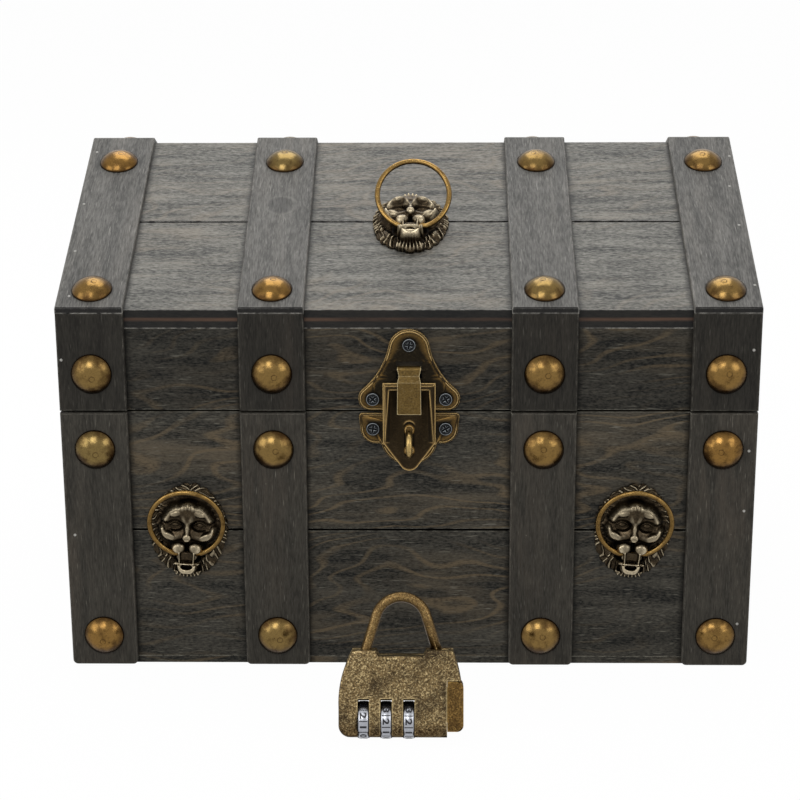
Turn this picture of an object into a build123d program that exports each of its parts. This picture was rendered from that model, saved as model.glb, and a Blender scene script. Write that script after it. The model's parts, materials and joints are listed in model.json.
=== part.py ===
from build123d import *
import math
import os

os.makedirs("parts", exist_ok=True)

# Lengths are in millimetres. X runs to the right, Y to the back, Z up.
# The origin is on the floor, under the middle of the chest.

# Chest and lid
chest_width = 280.0
chest_depth = 230.0
body_height = 109.6
seam_gap = 0.9
lid_front_height = 42.8
slope_angle = 22.6
board_thickness = 8.0
base_thickness = 3.0
plank_thickness = 7.0
plank_gap = 1.0
body_split_height = 59.1
slope_split = 62.5

# Straps
strap_thickness = 2.2
end_strap_width = 27.0
inner_strap_width = 26.3
outer_bay_share = 0.369
strap_corner = 2.0
strap_ease = 0.4

# Dome studs
stud_radius = 8.2
stud_height = 4.6
stud_rim = 0.6
stud_nail_side = 1.6
stud_eaves_inset = 12.0
stud_ridge_inset = 19.8
stud_lid_rise = 15.5
stud_seam_drop = 15.3
stud_foot_rise = 13.2

# Butt hinges on the back
hinge_length = 32.0
hinge_leaf_height = 16.0
hinge_leaf_thickness = 0.8
hinge_knuckle_radius = 1.8
hinge_pin_radius = 0.9
hinge_pin_head_radius = 1.5
hinge_pin_head_height = 0.6
hinge_stop_angle = 100.0
hinge_screw_spread = 20.0
hinge_screw_drop = 10.0
knuckle_count = 5

# Screws
screw_head_radius = 2.8
screw_head_height = 1.2
screw_shank_radius = 1.2
screw_depth = 6.0
screw_recess_width = 0.9
screw_recess_depth = 0.7
screw_head_taper = 20
hinge_screw_head_radius = 2.2
hinge_screw_head_height = 0.9

# Lion masks
mask_width = 33.2
mask_height = 40.2
mask_left_shift = 0.3
mask_right_shift = 1.1
mask_top_shift = 0.5
mask_front_rise = 1.5
mask_slope_drop = 1.2
mane_step = 2.0
mane_tufts = 22
mane_shares = [(1.0, 0.09, 0), (0.86, 0.1, 1)]
mane_shrink_share = 0.94
face_width = 19.0
face_height = 23.0
face_rise = 1.5
face_relief = 8.4
face_shares = [(1.0, 0.35), (0.93, 0.68), (0.62, 1.0)]
brow_radius = 3.0
brow_spread = 4.2
brow_height = 8.2
brow_relief = 5.2
eye_radius = 2.2
eye_height = 5.0
eye_relief = 8.8
cheek_radius = 2.8
cheek_spread = 6.0
cheek_height = 0.6
cheek_relief = 4.9
nose_width = 3.6
nose_length = 9.0
nose_relief = 10.2
nose_middle = 0.6
nose_side_angle = 84
nose_taper = 8
muzzle_radius = 2.8
muzzle_spread = 3.4
muzzle_height = -5.6
muzzle_relief = 6.6
mouth_drop = 9.8
mouth_relief = 5.5
mouth_width = 8.0
mouth_half = 2.3
lip_radius = 2.8
lip_height = -13.4
beard_height = -15.6
beard_length = 6.4
beard_width = 8.4
beard_side_angle = 74
beard_taper = 20

# Rings
ring_radius = 14.9
ring_wire_radius = 1.1
ring_bar_length = 10.8
ring_front_angle = 11.5
ring_top_angle = 34.0
ring_side_play = 1.2

# Latch
latch_place = 0.4
latch_width = 40.6
latch_upper_rise = 33.5
latch_lower_rise = 21.8
latch_parting = 0.6
latch_corner = 1.5
latch_waist_fillet = 1.6
latch_crown_radius = 8.2
latch_lobe_radius = 5.0
latch_plate_stand = 2.2
latch_sheet = 0.8
latch_rim = 1.2
latch_waist_half_width = 11.2
latch_side_drop = 6.4
latch_waist_drop = 6.0
latch_window_width = 10.6
latch_window_below = 3.3
latch_window_above = 3.7
pivot_bar_seat = 1.2
latch_crown_screw_rise = 2.1
latch_lobe_screw_inset = 5.7
latch_lower_screw_drop = 6.2
pivot_bar_radius = 0.9
pivot_rise = 16.85
crown_end_angle = 12
lobe_start_angle = 50
latch_flank_dip = 1.6
flank_drop_share = 0.5
latch_bevel = 0.7
latch_side_inset = 0.7
latch_lobe_inset = 2.7
latch_lobe_sag = 1.4
tip_via_share = 0.68
tip_via_rise_share = 0.32

# Hasp
hasp_width = 21.0
hasp_pivot_drop = 5.0
hasp_length = 36.7
hasp_point_length = 11.7
hasp_tip_radius = 4.0
hasp_clearance = 0.3
hasp_rail_width = 3.2
hasp_rail_height = 2.2
hasp_rail_taper = 18
hasp_tip_angle = 32
hasp_slot_width = 4.2
hasp_slot_above = 2.6
hasp_slot_below = 1.4
hasp_strap_width = 9.6
hasp_strap_sheet = 0.7
hasp_strap_length = 17.5
hasp_strap_bend_drop = 2.1

# Staple
staple_wire = 2.7
staple_drop = 5.5
staple_rise = 11.3
staple_reach = 13.4

# Padlock, in front of the chest, leaning back on its dials and its rear edge
padlock_place = -2.2
padlock_front = 188.0
padlock_width = 47.8
padlock_thickness = 12.0
padlock_foot = 1.2
padlock_shoulder = 34.4
padlock_recess = 32.2
padlock_corner = 4.5
padlock_edge = 1.2
padlock_wall = 1.2
padlock_side_via = 24.4
padlock_side_foot = 12.0
shoulder_share = 0.78
right_shoulder_share = 0.83
side_via_share = 0.95
recess_lip_share = 0.4
recess_foot_share = 0.36
dial_radius = 7.2
dial_width = 3.8
dial_place_shares = [-0.602, -0.238, 0.126]
dial_slot_width = 4.4
dial_slot_top = 16.0
dial_ease = 0.3
dial_shaft_radius = 1.5
dial_shaft_end = 3.0
shackle_rod_radius = 2.0
shackle_crown_radius = 10.0
shackle_crown_height = 44.4
shackle_foot_inset = 8.7
shackle_pivot_height = 29.1
shackle_end_height = 28.1
shackle_eye_radius = 3.0
shackle_eye_thickness = 3.4
shackle_pin_radius = 1.0
shackle_slot_clearance = 0.3
socket_inset = 2.7
socket_outset = 2.5
slider_width = 6.2
slider_foot = 3.4
slider_top = 22.6
slider_thickness = 10.6
slider_corner = 2.6
slider_travel = 2.2
slider_play = 0.1
slider_neck_width = 2.6
slider_neck_depth = 2.6
slider_head_width = 5.2
slider_head_depth = 1.4
slider_end_inset = 3.0
reset_place_share = 0.3
reset_radius = 1.0
reset_length = 2.8
reset_proud = 0.5
reset_travel = 1.0

# Fits
running_clearance = 0.05
part_clearance = 0.3
cut_overrun = 2.0

# Places that follow from the sizes above
half_width = chest_width / 2
half_depth = chest_depth / 2
board_face = half_depth - strap_thickness
board_back = board_face - board_thickness
lid_bottom = body_height + seam_gap
eaves_height = lid_bottom + lid_front_height
plank_depth = strap_thickness + plank_thickness
slope_sin = math.sin(math.radians(slope_angle))
slope_cos = math.cos(math.radians(slope_angle))
slope_tan = slope_sin / slope_cos
ridge_run = half_depth / slope_cos
spare_width = chest_width - 2 * (end_strap_width + inner_strap_width + mask_width) - latch_width
mask_bay = mask_width + outer_bay_share * spare_width / 2
bay_place = half_width - end_strap_width - mask_bay / 2
inner_strap_place = bay_place - mask_bay / 2 - inner_strap_width / 2
seam_middle = body_height + seam_gap / 2
hinge_inset = seam_gap / 2 / math.tan(math.radians(hinge_stop_angle / 2))
hinge_axis_y = half_depth - hinge_inset
strap_columns = [
    (-half_width + end_strap_width / 2, end_strap_width),
    (-inner_strap_place, inner_strap_width),
    (inner_strap_place, inner_strap_width),
    (half_width - end_strap_width / 2, end_strap_width),
]
stud_columns = [middle for middle, width in strap_columns]
body_nails = [(x, z) for x in stud_columns for z in (stud_foot_rise, body_height - stud_seam_drop)]
lid_nails = [(x, lid_bottom + stud_lid_rise) for x in stud_columns]
stud_runs = [stud_eaves_inset, ridge_run - stud_ridge_inset]
slope_nails = [(x, run) for x in stud_columns for run in stud_runs]
nail_pocket = stud_nail_side + 2 * running_clearance

front_face = Plane(origin=(0, -board_face, 0), x_dir=(1, 0, 0), z_dir=(0, -1, 0))
back_face = Plane(origin=(0, board_face, 0), x_dir=(-1, 0, 0), z_dir=(0, 1, 0))


def slope_point(run, depth):
    """Point (y, z) at a run up the front slope, a depth under the strap surface."""
    y = -half_depth + run * slope_cos + depth * slope_sin
    z = eaves_height + run * slope_sin - depth * slope_cos
    return y, z


def slope_height(y, depth):
    """Height of the front slope at y, a depth under the strap surface."""
    return eaves_height + (y + half_depth) * slope_tan - depth / slope_cos


front_slope = Plane(
    origin=(0, *slope_point(0, strap_thickness)), x_dir=(1, 0, 0), z_dir=(0, -slope_sin, slope_cos)
)
back_slope = Plane(
    origin=(0, -slope_point(0, strap_thickness)[0], slope_point(0, strap_thickness)[1]),
    x_dir=(-1, 0, 0),
    z_dir=(0, slope_sin, slope_cos),
)


def save(builder, node):
    """Label a finished piece and write it under its node name."""
    builder.part.label = node
    export_step(builder.part, f"parts/{node}.step")


def mirrored(points):
    """The same section on the other side of the chest's middle."""
    return [(-y, z) for y, z in points]


def section_piece(points, x_low, x_high, node):
    """A board or plank made by pushing its YZ section along X."""
    with BuildPart() as piece:
        with BuildSketch(Plane.YZ.offset(x_low)):
            with BuildLine():
                Polyline(points, close=True)
            make_face()
        extrude(amount=x_high - x_low)
    save(piece, node)


def rectangle_points(y_low, y_high, z_low, z_high):
    """Corners of an upright YZ rectangle."""
    return [(y_low, z_low), (y_high, z_low), (y_high, z_high), (y_low, z_high)]


# Heights on the latch, counted from the seam
latch_half = latch_width / 2
upper_bottom_edge = seam_middle + latch_parting
latch_top = upper_bottom_edge + latch_upper_rise
crown_middle = latch_top - latch_crown_radius
lobe_middle = latch_half - latch_lobe_radius
lobe_height = upper_bottom_edge + latch_lobe_radius
pivot_height = upper_bottom_edge + pivot_rise
pivot_stand = latch_plate_stand - latch_sheet / 2
pivot_y = -board_face - pivot_stand
lower_top_edge = seam_middle - latch_parting
lower_bottom_edge = lower_top_edge - latch_lower_rise
side_height = lower_top_edge - latch_side_drop
waist_height = side_height - latch_waist_drop
staple_top = lower_top_edge - staple_drop
staple_bottom = staple_top - staple_rise
low_leg = staple_bottom + staple_wire / 2
high_leg = staple_top - staple_wire / 2
hasp_top = pivot_height - hasp_pivot_drop
hasp_tip = hasp_top - hasp_length
hasp_shoulder = hasp_tip + hasp_point_length
hasp_slot_top = staple_top + hasp_slot_above
hasp_slot_bottom = staple_bottom - hasp_slot_below
latch_screw_spread = latch_half - latch_lobe_screw_inset
latch_low_screws = [
    (latch_place - latch_screw_spread, lower_top_edge - latch_lower_screw_drop),
    (latch_place + latch_screw_spread, lower_top_edge - latch_lower_screw_drop),
]
latch_high_screws = [
    (latch_place, crown_middle + latch_crown_screw_rise),
    (latch_place - latch_screw_spread, lobe_height),
    (latch_place + latch_screw_spread, lobe_height),
]


def hinge_screws(direction):
    """Screw places of both hinge leaves, below (-1) or above (1) the seam."""
    height = seam_middle + direction * hinge_screw_drop
    places = []
    for middle in (-bay_place, bay_place):
        places.append((middle - hinge_screw_spread / 2, height))
        places.append((middle + hinge_screw_spread / 2, height))
    return places


def long_board(face, points, screws, node):
    """A full-width front or back board with the pilot holes of its screws."""
    with BuildPart() as piece:
        with BuildSketch(Plane.YZ.offset(-half_width)):
            with BuildLine():
                Polyline(points, close=True)
            make_face()
        extrude(amount=chest_width)
        if screws:
            with BuildSketch(face):
                with Locations(*screws):
                    Circle(screw_shank_radius + running_clearance)
            extrude(amount=-screw_depth, mode=Mode.SUBTRACT)
    save(piece, node)


# Base board
section_piece(
    rectangle_points(-board_face, board_face, 0, base_thickness), -half_width, half_width, "base_board"
)

# Front and back boards of the body, two planks each
lower_top = body_split_height - plank_gap / 2
upper_bottom = body_split_height + plank_gap / 2
lower_section = rectangle_points(-board_face, -board_back, base_thickness, lower_top)
upper_section = rectangle_points(-board_face, -board_back, upper_bottom, body_height)
long_board(front_face, lower_section, [], "front_board_lower")
long_board(front_face, upper_section, latch_low_screws, "front_board_upper")
long_board(back_face, mirrored(lower_section), [], "back_board_lower")
long_board(back_face, mirrored(upper_section), hinge_screws(-1), "back_board_upper")

# End boards of the body, set between the long boards
for side, x_low in (("left", -half_width), ("right", half_width - board_thickness)):
    for level, z_low, z_high in (
        ("lower", base_thickness, lower_top),
        ("upper", upper_bottom, body_height),
    ):
        section_piece(
            rectangle_points(-board_back, board_back, z_low, z_high),
            x_low,
            x_low + board_thickness,
            f"{side}_end_{level}",
        )

# Front and back boards of the lid, bevelled under the planks
lid_board = [
    (-board_face, lid_bottom),
    (-board_back, lid_bottom),
    (-board_back, slope_height(-board_back, plank_depth)),
    (-board_face, slope_height(-board_face, plank_depth)),
]
long_board(front_face, lid_board, latch_high_screws, "lid_front_board")
long_board(back_face, mirrored(lid_board), hinge_screws(1), "lid_back_board")

# Gable boards of the lid
gable = [
    (-board_back, lid_bottom),
    (board_back, lid_bottom),
    (board_back, slope_height(-board_back, plank_depth)),
    (0, slope_height(0, plank_depth)),
    (-board_back, slope_height(-board_back, plank_depth)),
]
section_piece(gable, -half_width, -half_width + board_thickness, "lid_left_gable")
section_piece(gable, half_width - board_thickness, half_width, "lid_right_gable")

# Sloping planks of the lid, two on each side of the ridge
low_plank = [
    (-board_face, slope_height(-board_face, plank_depth)),
    (-board_face, slope_height(-board_face, strap_thickness)),
    slope_point(slope_split - plank_gap / 2, strap_thickness),
    slope_point(slope_split - plank_gap / 2, plank_depth),
]
high_plank = [
    slope_point(slope_split + plank_gap / 2, plank_depth),
    slope_point(slope_split + plank_gap / 2, strap_thickness),
    (0, slope_height(0, strap_thickness)),
    (0, slope_height(0, plank_depth)),
]
section_piece(low_plank, -half_width, half_width, "slope_plank_front_low")
section_piece(high_plank, -half_width, half_width, "slope_plank_front_high")
section_piece(mirrored(low_plank), -half_width, half_width, "slope_plank_back_low")
section_piece(mirrored(high_plank), -half_width, half_width, "slope_plank_back_high")


def ease_outer_edges(straps, face):
    """Break the edges of the face that shows."""
    outward = Axis(face.origin, face.z_dir)
    chamfer(straps.faces().group_by(outward)[-1].edges(), strap_ease)


def body_straps(face, node):
    """Four upright straps of the body with rounded feet."""
    with BuildPart() as straps:
        for middle, width in strap_columns:
            with BuildSketch(face):
                with Locations((middle, body_height / 2)):
                    foot = Rectangle(width, body_height)
                fillet(foot.vertices().group_by(Axis.Y)[0], strap_corner)
            extrude(amount=strap_thickness)
        ease_outer_edges(straps, face)
        with BuildSketch(face):
            with Locations(*body_nails):
                Rectangle(nail_pocket, nail_pocket)
        extrude(amount=strap_thickness, mode=Mode.SUBTRACT)
    save(straps, node)


def lid_straps(points, face, nail_places, node):
    """Four lid straps of one section, mitred where they turn a corner."""
    with BuildPart() as straps:
        for middle, width in strap_columns:
            with BuildSketch(Plane.YZ.offset(middle - width / 2)):
                with BuildLine():
                    Polyline(points, close=True)
                make_face()
            extrude(amount=width)
        ease_outer_edges(straps, face)
        with BuildSketch(face):
            with Locations(*nail_places):
                Rectangle(nail_pocket, nail_pocket)
        extrude(amount=strap_thickness, mode=Mode.SUBTRACT)
    save(straps, node)


body_straps(front_face, "body_straps_front")
body_straps(back_face, "body_straps_back")

lid_upright = [
    (-half_depth, lid_bottom),
    (-board_face, lid_bottom),
    (-board_face, slope_height(-board_face, strap_thickness)),
    (-half_depth, slope_height(-half_depth, strap_thickness)),
]
lid_sloping = [
    (-half_depth, slope_height(-half_depth, strap_thickness)),
    (0, slope_height(0, strap_thickness)),
    (0, slope_height(0, 0)),
    (-half_depth, slope_height(-half_depth, 0)),
]
lid_straps(lid_upright, front_face, lid_nails, "lid_straps_front")
lid_straps(lid_sloping, front_slope, slope_nails, "lid_straps_front_slope")
lid_straps(mirrored(lid_sloping), back_slope, slope_nails, "lid_straps_back_slope")
lid_straps(mirrored(lid_upright), back_face, lid_nails, "lid_straps_back")

# One dome stud with its square nail, pointing up from the floor plane
stud_cap_radius = (stud_radius**2 + (stud_height - stud_rim) ** 2) / (2 * (stud_height - stud_rim))
stud_half_run = stud_radius / 2
stud_half_height = stud_height - stud_cap_radius + math.sqrt(stud_cap_radius**2 - stud_half_run**2)
with BuildPart() as stud:
    with BuildSketch(Plane.XZ):
        with BuildLine():
            Polyline((0, stud_height), (0, 0), (stud_radius, 0), (stud_radius, stud_rim))
            ThreePointArc((stud_radius, stud_rim), (stud_half_run, stud_half_height), (0, stud_height))
        make_face()
    revolve(axis=Axis.Z)
    with BuildSketch():
        Rectangle(stud_nail_side, stud_nail_side)
    extrude(amount=running_clearance - strap_thickness)


def stud_group(faces_and_places, node):
    """Studs seated on the straps of several faces, as separate solids of one node."""
    spots = []
    for face, places in faces_and_places:
        for x, y in places:
            spots.append(face.location * Location((x, y, strap_thickness)))
    with BuildPart() as studs:
        with Locations(*spots):
            add(stud.part)
    save(studs, node)


stud_group([(front_face, body_nails), (back_face, body_nails)], "body_studs")
stud_group([(front_face, lid_nails), (back_face, lid_nails)], "lid_studs_upright")
stud_group([(front_slope, slope_nails), (back_slope, slope_nails)], "lid_studs_slope")


def hinge_leaves(direction, own_knuckles, node):
    """Both leaves of one side of the hinges, below (-1) or above (1) the seam."""
    segment = hinge_length / knuckle_count
    near = seam_middle + direction * (hinge_knuckle_radius + part_clearance)
    far = seam_middle + direction * hinge_leaf_height
    tab = seam_middle + direction * hinge_pin_radius
    with BuildPart() as leaves:
        for middle in (-bay_place, bay_place):
            with BuildSketch(back_face):
                with Locations((-middle, (near + far) / 2)):
                    Rectangle(hinge_length, hinge_leaf_height - hinge_knuckle_radius - part_clearance)
            extrude(amount=hinge_leaf_thickness)
            for index in own_knuckles:
                x_low = middle - hinge_length / 2 + index * segment + running_clearance
                with BuildSketch(Plane.YZ.offset(x_low)):
                    with Locations((hinge_axis_y, seam_middle)):
                        Circle(hinge_knuckle_radius)
                    with Locations((board_face + hinge_leaf_thickness / 2, (near + tab) / 2)):
                        Rectangle(hinge_leaf_thickness, abs(near - tab))
                extrude(amount=segment - 2 * running_clearance)
            with BuildSketch(Plane.YZ.offset(middle - hinge_length / 2)):
                with Locations((hinge_axis_y, seam_middle)):
                    Circle(hinge_pin_radius + running_clearance)
            extrude(amount=hinge_length, mode=Mode.SUBTRACT)
        with BuildSketch(back_face):
            with Locations(*hinge_screws(direction)):
                Circle(screw_shank_radius + running_clearance)
        extrude(amount=hinge_leaf_thickness, mode=Mode.SUBTRACT)
    save(leaves, node)


hinge_leaves(-1, range(0, knuckle_count, 2), "hinge_leaves_body")
hinge_leaves(1, range(1, knuckle_count, 2), "hinge_leaves_lid")

# Hinge pins with a riveted head at each end
with BuildPart() as hinge_pins:
    for middle in (-bay_place, bay_place):
        pin_low = middle - hinge_length / 2
        with BuildSketch(Plane.YZ.offset(pin_low)):
            with Locations((hinge_axis_y, seam_middle)):
                Circle(hinge_pin_radius)
        extrude(amount=hinge_length)
        for head_low in (pin_low - hinge_pin_head_height, pin_low + hinge_length):
            with BuildSketch(Plane.YZ.offset(head_low)):
                with Locations((hinge_axis_y, seam_middle)):
                    Circle(hinge_pin_head_radius)
            extrude(amount=hinge_pin_head_height)
save(hinge_pins, "hinge_pins")


def screw_group(face, places, seat, head_radius, head_height, node):
    """Pan-head screws seated a height over the face, with their shanks in the wood."""
    with BuildPart() as screws:
        with BuildSketch(face.offset(-screw_depth)):
            with Locations(*places):
                Circle(screw_shank_radius)
        extrude(amount=screw_depth + seat)
        with BuildSketch(face.offset(seat)):
            with Locations(*places):
                Circle(head_radius)
        extrude(amount=head_height, taper=screw_head_taper)
        with BuildSketch(face.offset(seat + head_height)):
            with Locations(*places):
                Rectangle(head_radius, screw_recess_width)
                Rectangle(screw_recess_width, head_radius)
        extrude(amount=-screw_recess_depth, mode=Mode.SUBTRACT)
    save(screws, node)


for direction, node in ((-1, "hinge_screws_body"), (1, "hinge_screws_lid")):
    screw_group(
        back_face,
        hinge_screws(direction),
        hinge_leaf_thickness,
        hinge_screw_head_radius,
        hinge_screw_head_height,
        node,
    )
for places, node in ((latch_low_screws, "latch_screws_lower"), (latch_high_screws, "latch_screws_upper")):
    screw_group(
        front_face,
        places,
        latch_plate_stand,
        screw_head_radius,
        screw_head_height,
        node,
    )


def tuft_points(width, height, depth, turn):
    """Ragged outline of a mane: tuft tips on an ellipse, with the notches between them."""
    points = []
    for index in range(2 * mane_tufts):
        angle = math.pi * (index + turn) / mane_tufts
        reach = 1 - depth * (index % 2)
        points.append((reach * width / 2 * math.sin(angle), reach * height / 2 * math.cos(angle)))
    return points


def pair_of(spread, height, relief):
    """The same place on the left and the right of a face."""
    return [(-spread, height, relief), (spread, height, relief)]


def lion_mask(face, node):
    """A cast lion head on its face plane, with a bore behind the lip for the ring."""
    with BuildPart(face) as mask:
        for level, (size_share, notch_share, turn_share) in enumerate(mane_shares):
            for step, shrink_share in ((0, 1.0), (1, mane_shrink_share)):
                width = mask_width * size_share * shrink_share
                height = mask_height * size_share * shrink_share
                with BuildSketch(face.offset((level + step) * mane_step)):
                    with BuildLine():
                        Polyline(tuft_points(width, height, notch_share, turn_share), close=True)
                    make_face()
            loft(ruled=True)
        for size_share, height_share in face_shares:
            with BuildSketch(face.offset(face_relief * height_share)):
                with Locations((0, face_rise)):
                    Ellipse(face_width / 2 * size_share, face_height / 2 * size_share)
        loft()
        with Locations(*pair_of(brow_spread, brow_height, brow_relief)):
            Sphere(brow_radius)
        with Locations(*pair_of(cheek_spread, cheek_height, cheek_relief)):
            Sphere(cheek_radius)
        with BuildSketch(face.offset(mane_step)):
            with Locations((0, nose_middle)):
                Trapezoid(nose_width, nose_length, nose_side_angle)
        extrude(amount=nose_relief - mane_step, taper=nose_taper)
        with Locations(*pair_of(muzzle_spread, muzzle_height, muzzle_relief)):
            Sphere(muzzle_radius)
        with BuildSketch(face):
            with Locations((0, -mouth_drop)):
                Rectangle(mouth_width, 2 * mouth_half)
        extrude(amount=mouth_relief + mouth_half)
        with Locations((0, lip_height, mouth_relief)):
            Sphere(lip_radius)
        with BuildSketch(face):
            with Locations((0, beard_height)):
                Trapezoid(beard_width, beard_length, beard_side_angle, rotation=180)
        extrude(amount=mouth_relief, taper=beard_taper)
        with Locations(*pair_of(brow_spread, eye_height, eye_relief)):
            Sphere(eye_radius, mode=Mode.SUBTRACT)
        with Locations((0, -mouth_drop, mouth_relief)):
            Cylinder(
                ring_wire_radius + running_clearance,
                2 * mouth_width,
                rotation=(0, 90, 0),
                mode=Mode.SUBTRACT,
            )
    save(mask, node)


mask_height_on_front = body_split_height + mask_front_rise
mask_planes = {
    "left": Plane(front_face * Location((-bay_place + mask_left_shift, mask_height_on_front, 0))),
    "right": Plane(front_face * Location((bay_place + mask_right_shift, mask_height_on_front, 0))),
    "top": Plane(front_slope * Location((mask_top_shift, slope_split - mask_slope_drop, 0))),
}
for side, face in mask_planes.items():
    lion_mask(face, f"lion_mask_{side}")


def pull_ring(face, play, angle, node):
    """A wire ring with a straight bar through the lion's mouth, leaning out from the face."""
    hinge = Plane(face * Location((play, -mouth_drop, mouth_relief)))
    tilt = math.radians(angle)
    ring_plane = Plane(
        origin=hinge.origin,
        x_dir=hinge.x_dir,
        z_dir=hinge.z_dir * math.cos(tilt) - hinge.y_dir * math.sin(tilt),
    )
    bar_half = ring_bar_length / 2
    rise = math.sqrt(ring_radius**2 - bar_half**2)
    bar_start = ring_plane.origin - ring_plane.x_dir * bar_half
    bar_ends = [ring_plane.location * Location((x, 0, 0)) for x in (-bar_half, bar_half)]
    with BuildPart() as ring:
        with BuildLine(ring_plane) as bow:
            ThreePointArc((bar_half, 0), (0, rise + ring_radius), (-bar_half, 0))
        with BuildSketch(Plane(origin=bow.line @ 0, z_dir=bow.line % 0)):
            Circle(ring_wire_radius)
        sweep()
        with BuildSketch(Plane(origin=bar_start, z_dir=ring_plane.x_dir)):
            Circle(ring_wire_radius)
        extrude(amount=ring_bar_length)
        with Locations(*bar_ends):
            Sphere(ring_wire_radius)
    save(ring, node)


pull_ring(mask_planes["left"], 0, ring_front_angle, "ring_left")
pull_ring(mask_planes["right"], 0, ring_front_angle, "ring_right")
pull_ring(mask_planes["top"], ring_side_play, ring_top_angle, "ring_top")


# Latch plates: pressed sheet, standing off the wood with the rim turned down
latch_face = Plane(front_face * Location((latch_place, 0, 0)))


def on_circle(x, y, radius, degrees):
    """Point at an angle on a circle."""
    return x + radius * math.cos(math.radians(degrees)), y + radius * math.sin(math.radians(degrees))


def upper_latch_outline(inset):
    """Bell-shaped outline of the upper plate, drawn a rim's width in from its edge."""
    crown = latch_crown_radius - inset
    lobe = latch_lobe_radius - inset
    crown_end = on_circle(0, crown_middle, crown, crown_end_angle)
    crown_via = on_circle(0, crown_middle, crown, (90 + crown_end_angle) / 2)
    lobe_start = on_circle(lobe_middle, lobe_height, lobe, lobe_start_angle)
    lobe_via = on_circle(lobe_middle, lobe_height, lobe, (lobe_start_angle - 90) / 2)
    flank_via = (
        (crown_end[0] + lobe_start[0]) / 2 - latch_flank_dip,
        (crown_end[1] + lobe_start[1]) / 2 - latch_flank_dip * flank_drop_share,
    )
    with BuildLine() as outline:
        ThreePointArc((0, crown_middle + crown), crown_via, crown_end)
        ThreePointArc(crown_end, flank_via, lobe_start)
        ThreePointArc(lobe_start, lobe_via, (lobe_middle, lobe_height - lobe))
        Line((lobe_middle, lobe_height - lobe), (0, lobe_height - lobe))
        mirror(about=Plane.YZ)
    return outline.line


def lower_latch_outline(inset):
    """Shield-shaped outline of the lower plate, drawn a rim's width in from its edge."""
    side = latch_half - inset
    waist = latch_waist_half_width - inset
    with BuildLine() as outline:
        Line((0, lower_top_edge - inset), (side, lower_top_edge - inset))
        Line((side, lower_top_edge - inset), (side - latch_side_inset, side_height))
        ThreePointArc(
            (side - latch_side_inset, side_height),
            (side - latch_lobe_inset, waist_height + latch_lobe_sag + inset),
            (waist, waist_height + inset),
        )
        tip_via = lower_bottom_edge + (waist_height - lower_bottom_edge) * tip_via_rise_share
        ThreePointArc(
            (waist, waist_height + inset),
            (waist * tip_via_share, tip_via + inset),
            (0, lower_bottom_edge + inset),
        )
        mirror(about=Plane.YZ)
    return outline.line


with BuildPart() as upper_plate:
    with BuildSketch(latch_face):
        with BuildLine():
            add(upper_latch_outline(0))
        make_face()
    extrude(amount=latch_plate_stand)
    chamfer(upper_plate.faces().group_by(Axis.Y)[0].edges(), latch_bevel)
    with BuildSketch(latch_face):
        with BuildLine():
            add(upper_latch_outline(latch_rim))
        make_face()
    extrude(amount=latch_plate_stand - latch_sheet, mode=Mode.SUBTRACT)
    with BuildSketch(latch_face):
        with Locations((0, pivot_height + (latch_window_above - latch_window_below) / 2)):
            Rectangle(latch_window_width, latch_window_above + latch_window_below)
    extrude(amount=latch_plate_stand, mode=Mode.SUBTRACT)
    bar_low = latch_place - latch_window_width / 2 - pivot_bar_seat
    with BuildSketch(Plane.YZ.offset(bar_low)):
        with Locations((pivot_y, pivot_height)):
            Circle(pivot_bar_radius)
    extrude(amount=latch_window_width + 2 * pivot_bar_seat)
    with BuildSketch(front_face):
        with Locations(*latch_high_screws):
            Circle(screw_shank_radius + running_clearance)
    extrude(amount=latch_plate_stand, mode=Mode.SUBTRACT)
save(upper_plate, "latch_upper_plate")

with BuildPart() as lower_plate:
    with BuildSketch(latch_face):
        with BuildLine():
            add(lower_latch_outline(0))
        make_face()
        top_row = vertices().group_by(Axis.Y)[-1]
        fillet(top_row.filter_by(lambda corner: abs(corner.X) > latch_corner), latch_corner)
        waists = vertices().filter_by(lambda corner: abs(corner.Y - waist_height) < latch_rim)
        fillet(waists, latch_waist_fillet)
    extrude(amount=latch_plate_stand)
    chamfer(lower_plate.faces().group_by(Axis.Y)[0].edges(), latch_bevel)
    with BuildSketch(latch_face):
        with BuildLine():
            add(lower_latch_outline(latch_rim))
        make_face()
    extrude(amount=latch_plate_stand - latch_sheet, mode=Mode.SUBTRACT)
    with BuildSketch(front_face):
        with Locations(*latch_low_screws):
            Circle(screw_shank_radius + running_clearance)
        with Locations((latch_place, low_leg), (latch_place, high_leg)):
            Circle(staple_wire / 2 + running_clearance)
    extrude(amount=latch_plate_stand, mode=Mode.SUBTRACT)
save(lower_plate, "latch_lower_plate")

# Staple: a bent wire loop that stands out of the lower plate
staple_bend = (staple_rise - staple_wire) / 2
staple_straight = staple_reach - staple_wire / 2 - staple_bend
staple_plane = Plane(origin=(latch_place, -board_face, 0), x_dir=(0, -1, 0), z_dir=(-1, 0, 0))
with BuildPart() as staple:
    with BuildLine(staple_plane) as staple_path:
        Line((0, low_leg), (staple_straight, low_leg))
        ThreePointArc(
            (staple_straight, low_leg),
            (staple_straight + staple_bend, (low_leg + high_leg) / 2),
            (staple_straight, high_leg),
        )
        Line((staple_straight, high_leg), (0, high_leg))
    with BuildSketch(Plane(origin=staple_path.line @ 0, z_dir=staple_path.line % 0)):
        Circle(staple_wire / 2)
    sweep()
save(staple, "latch_staple")

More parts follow.
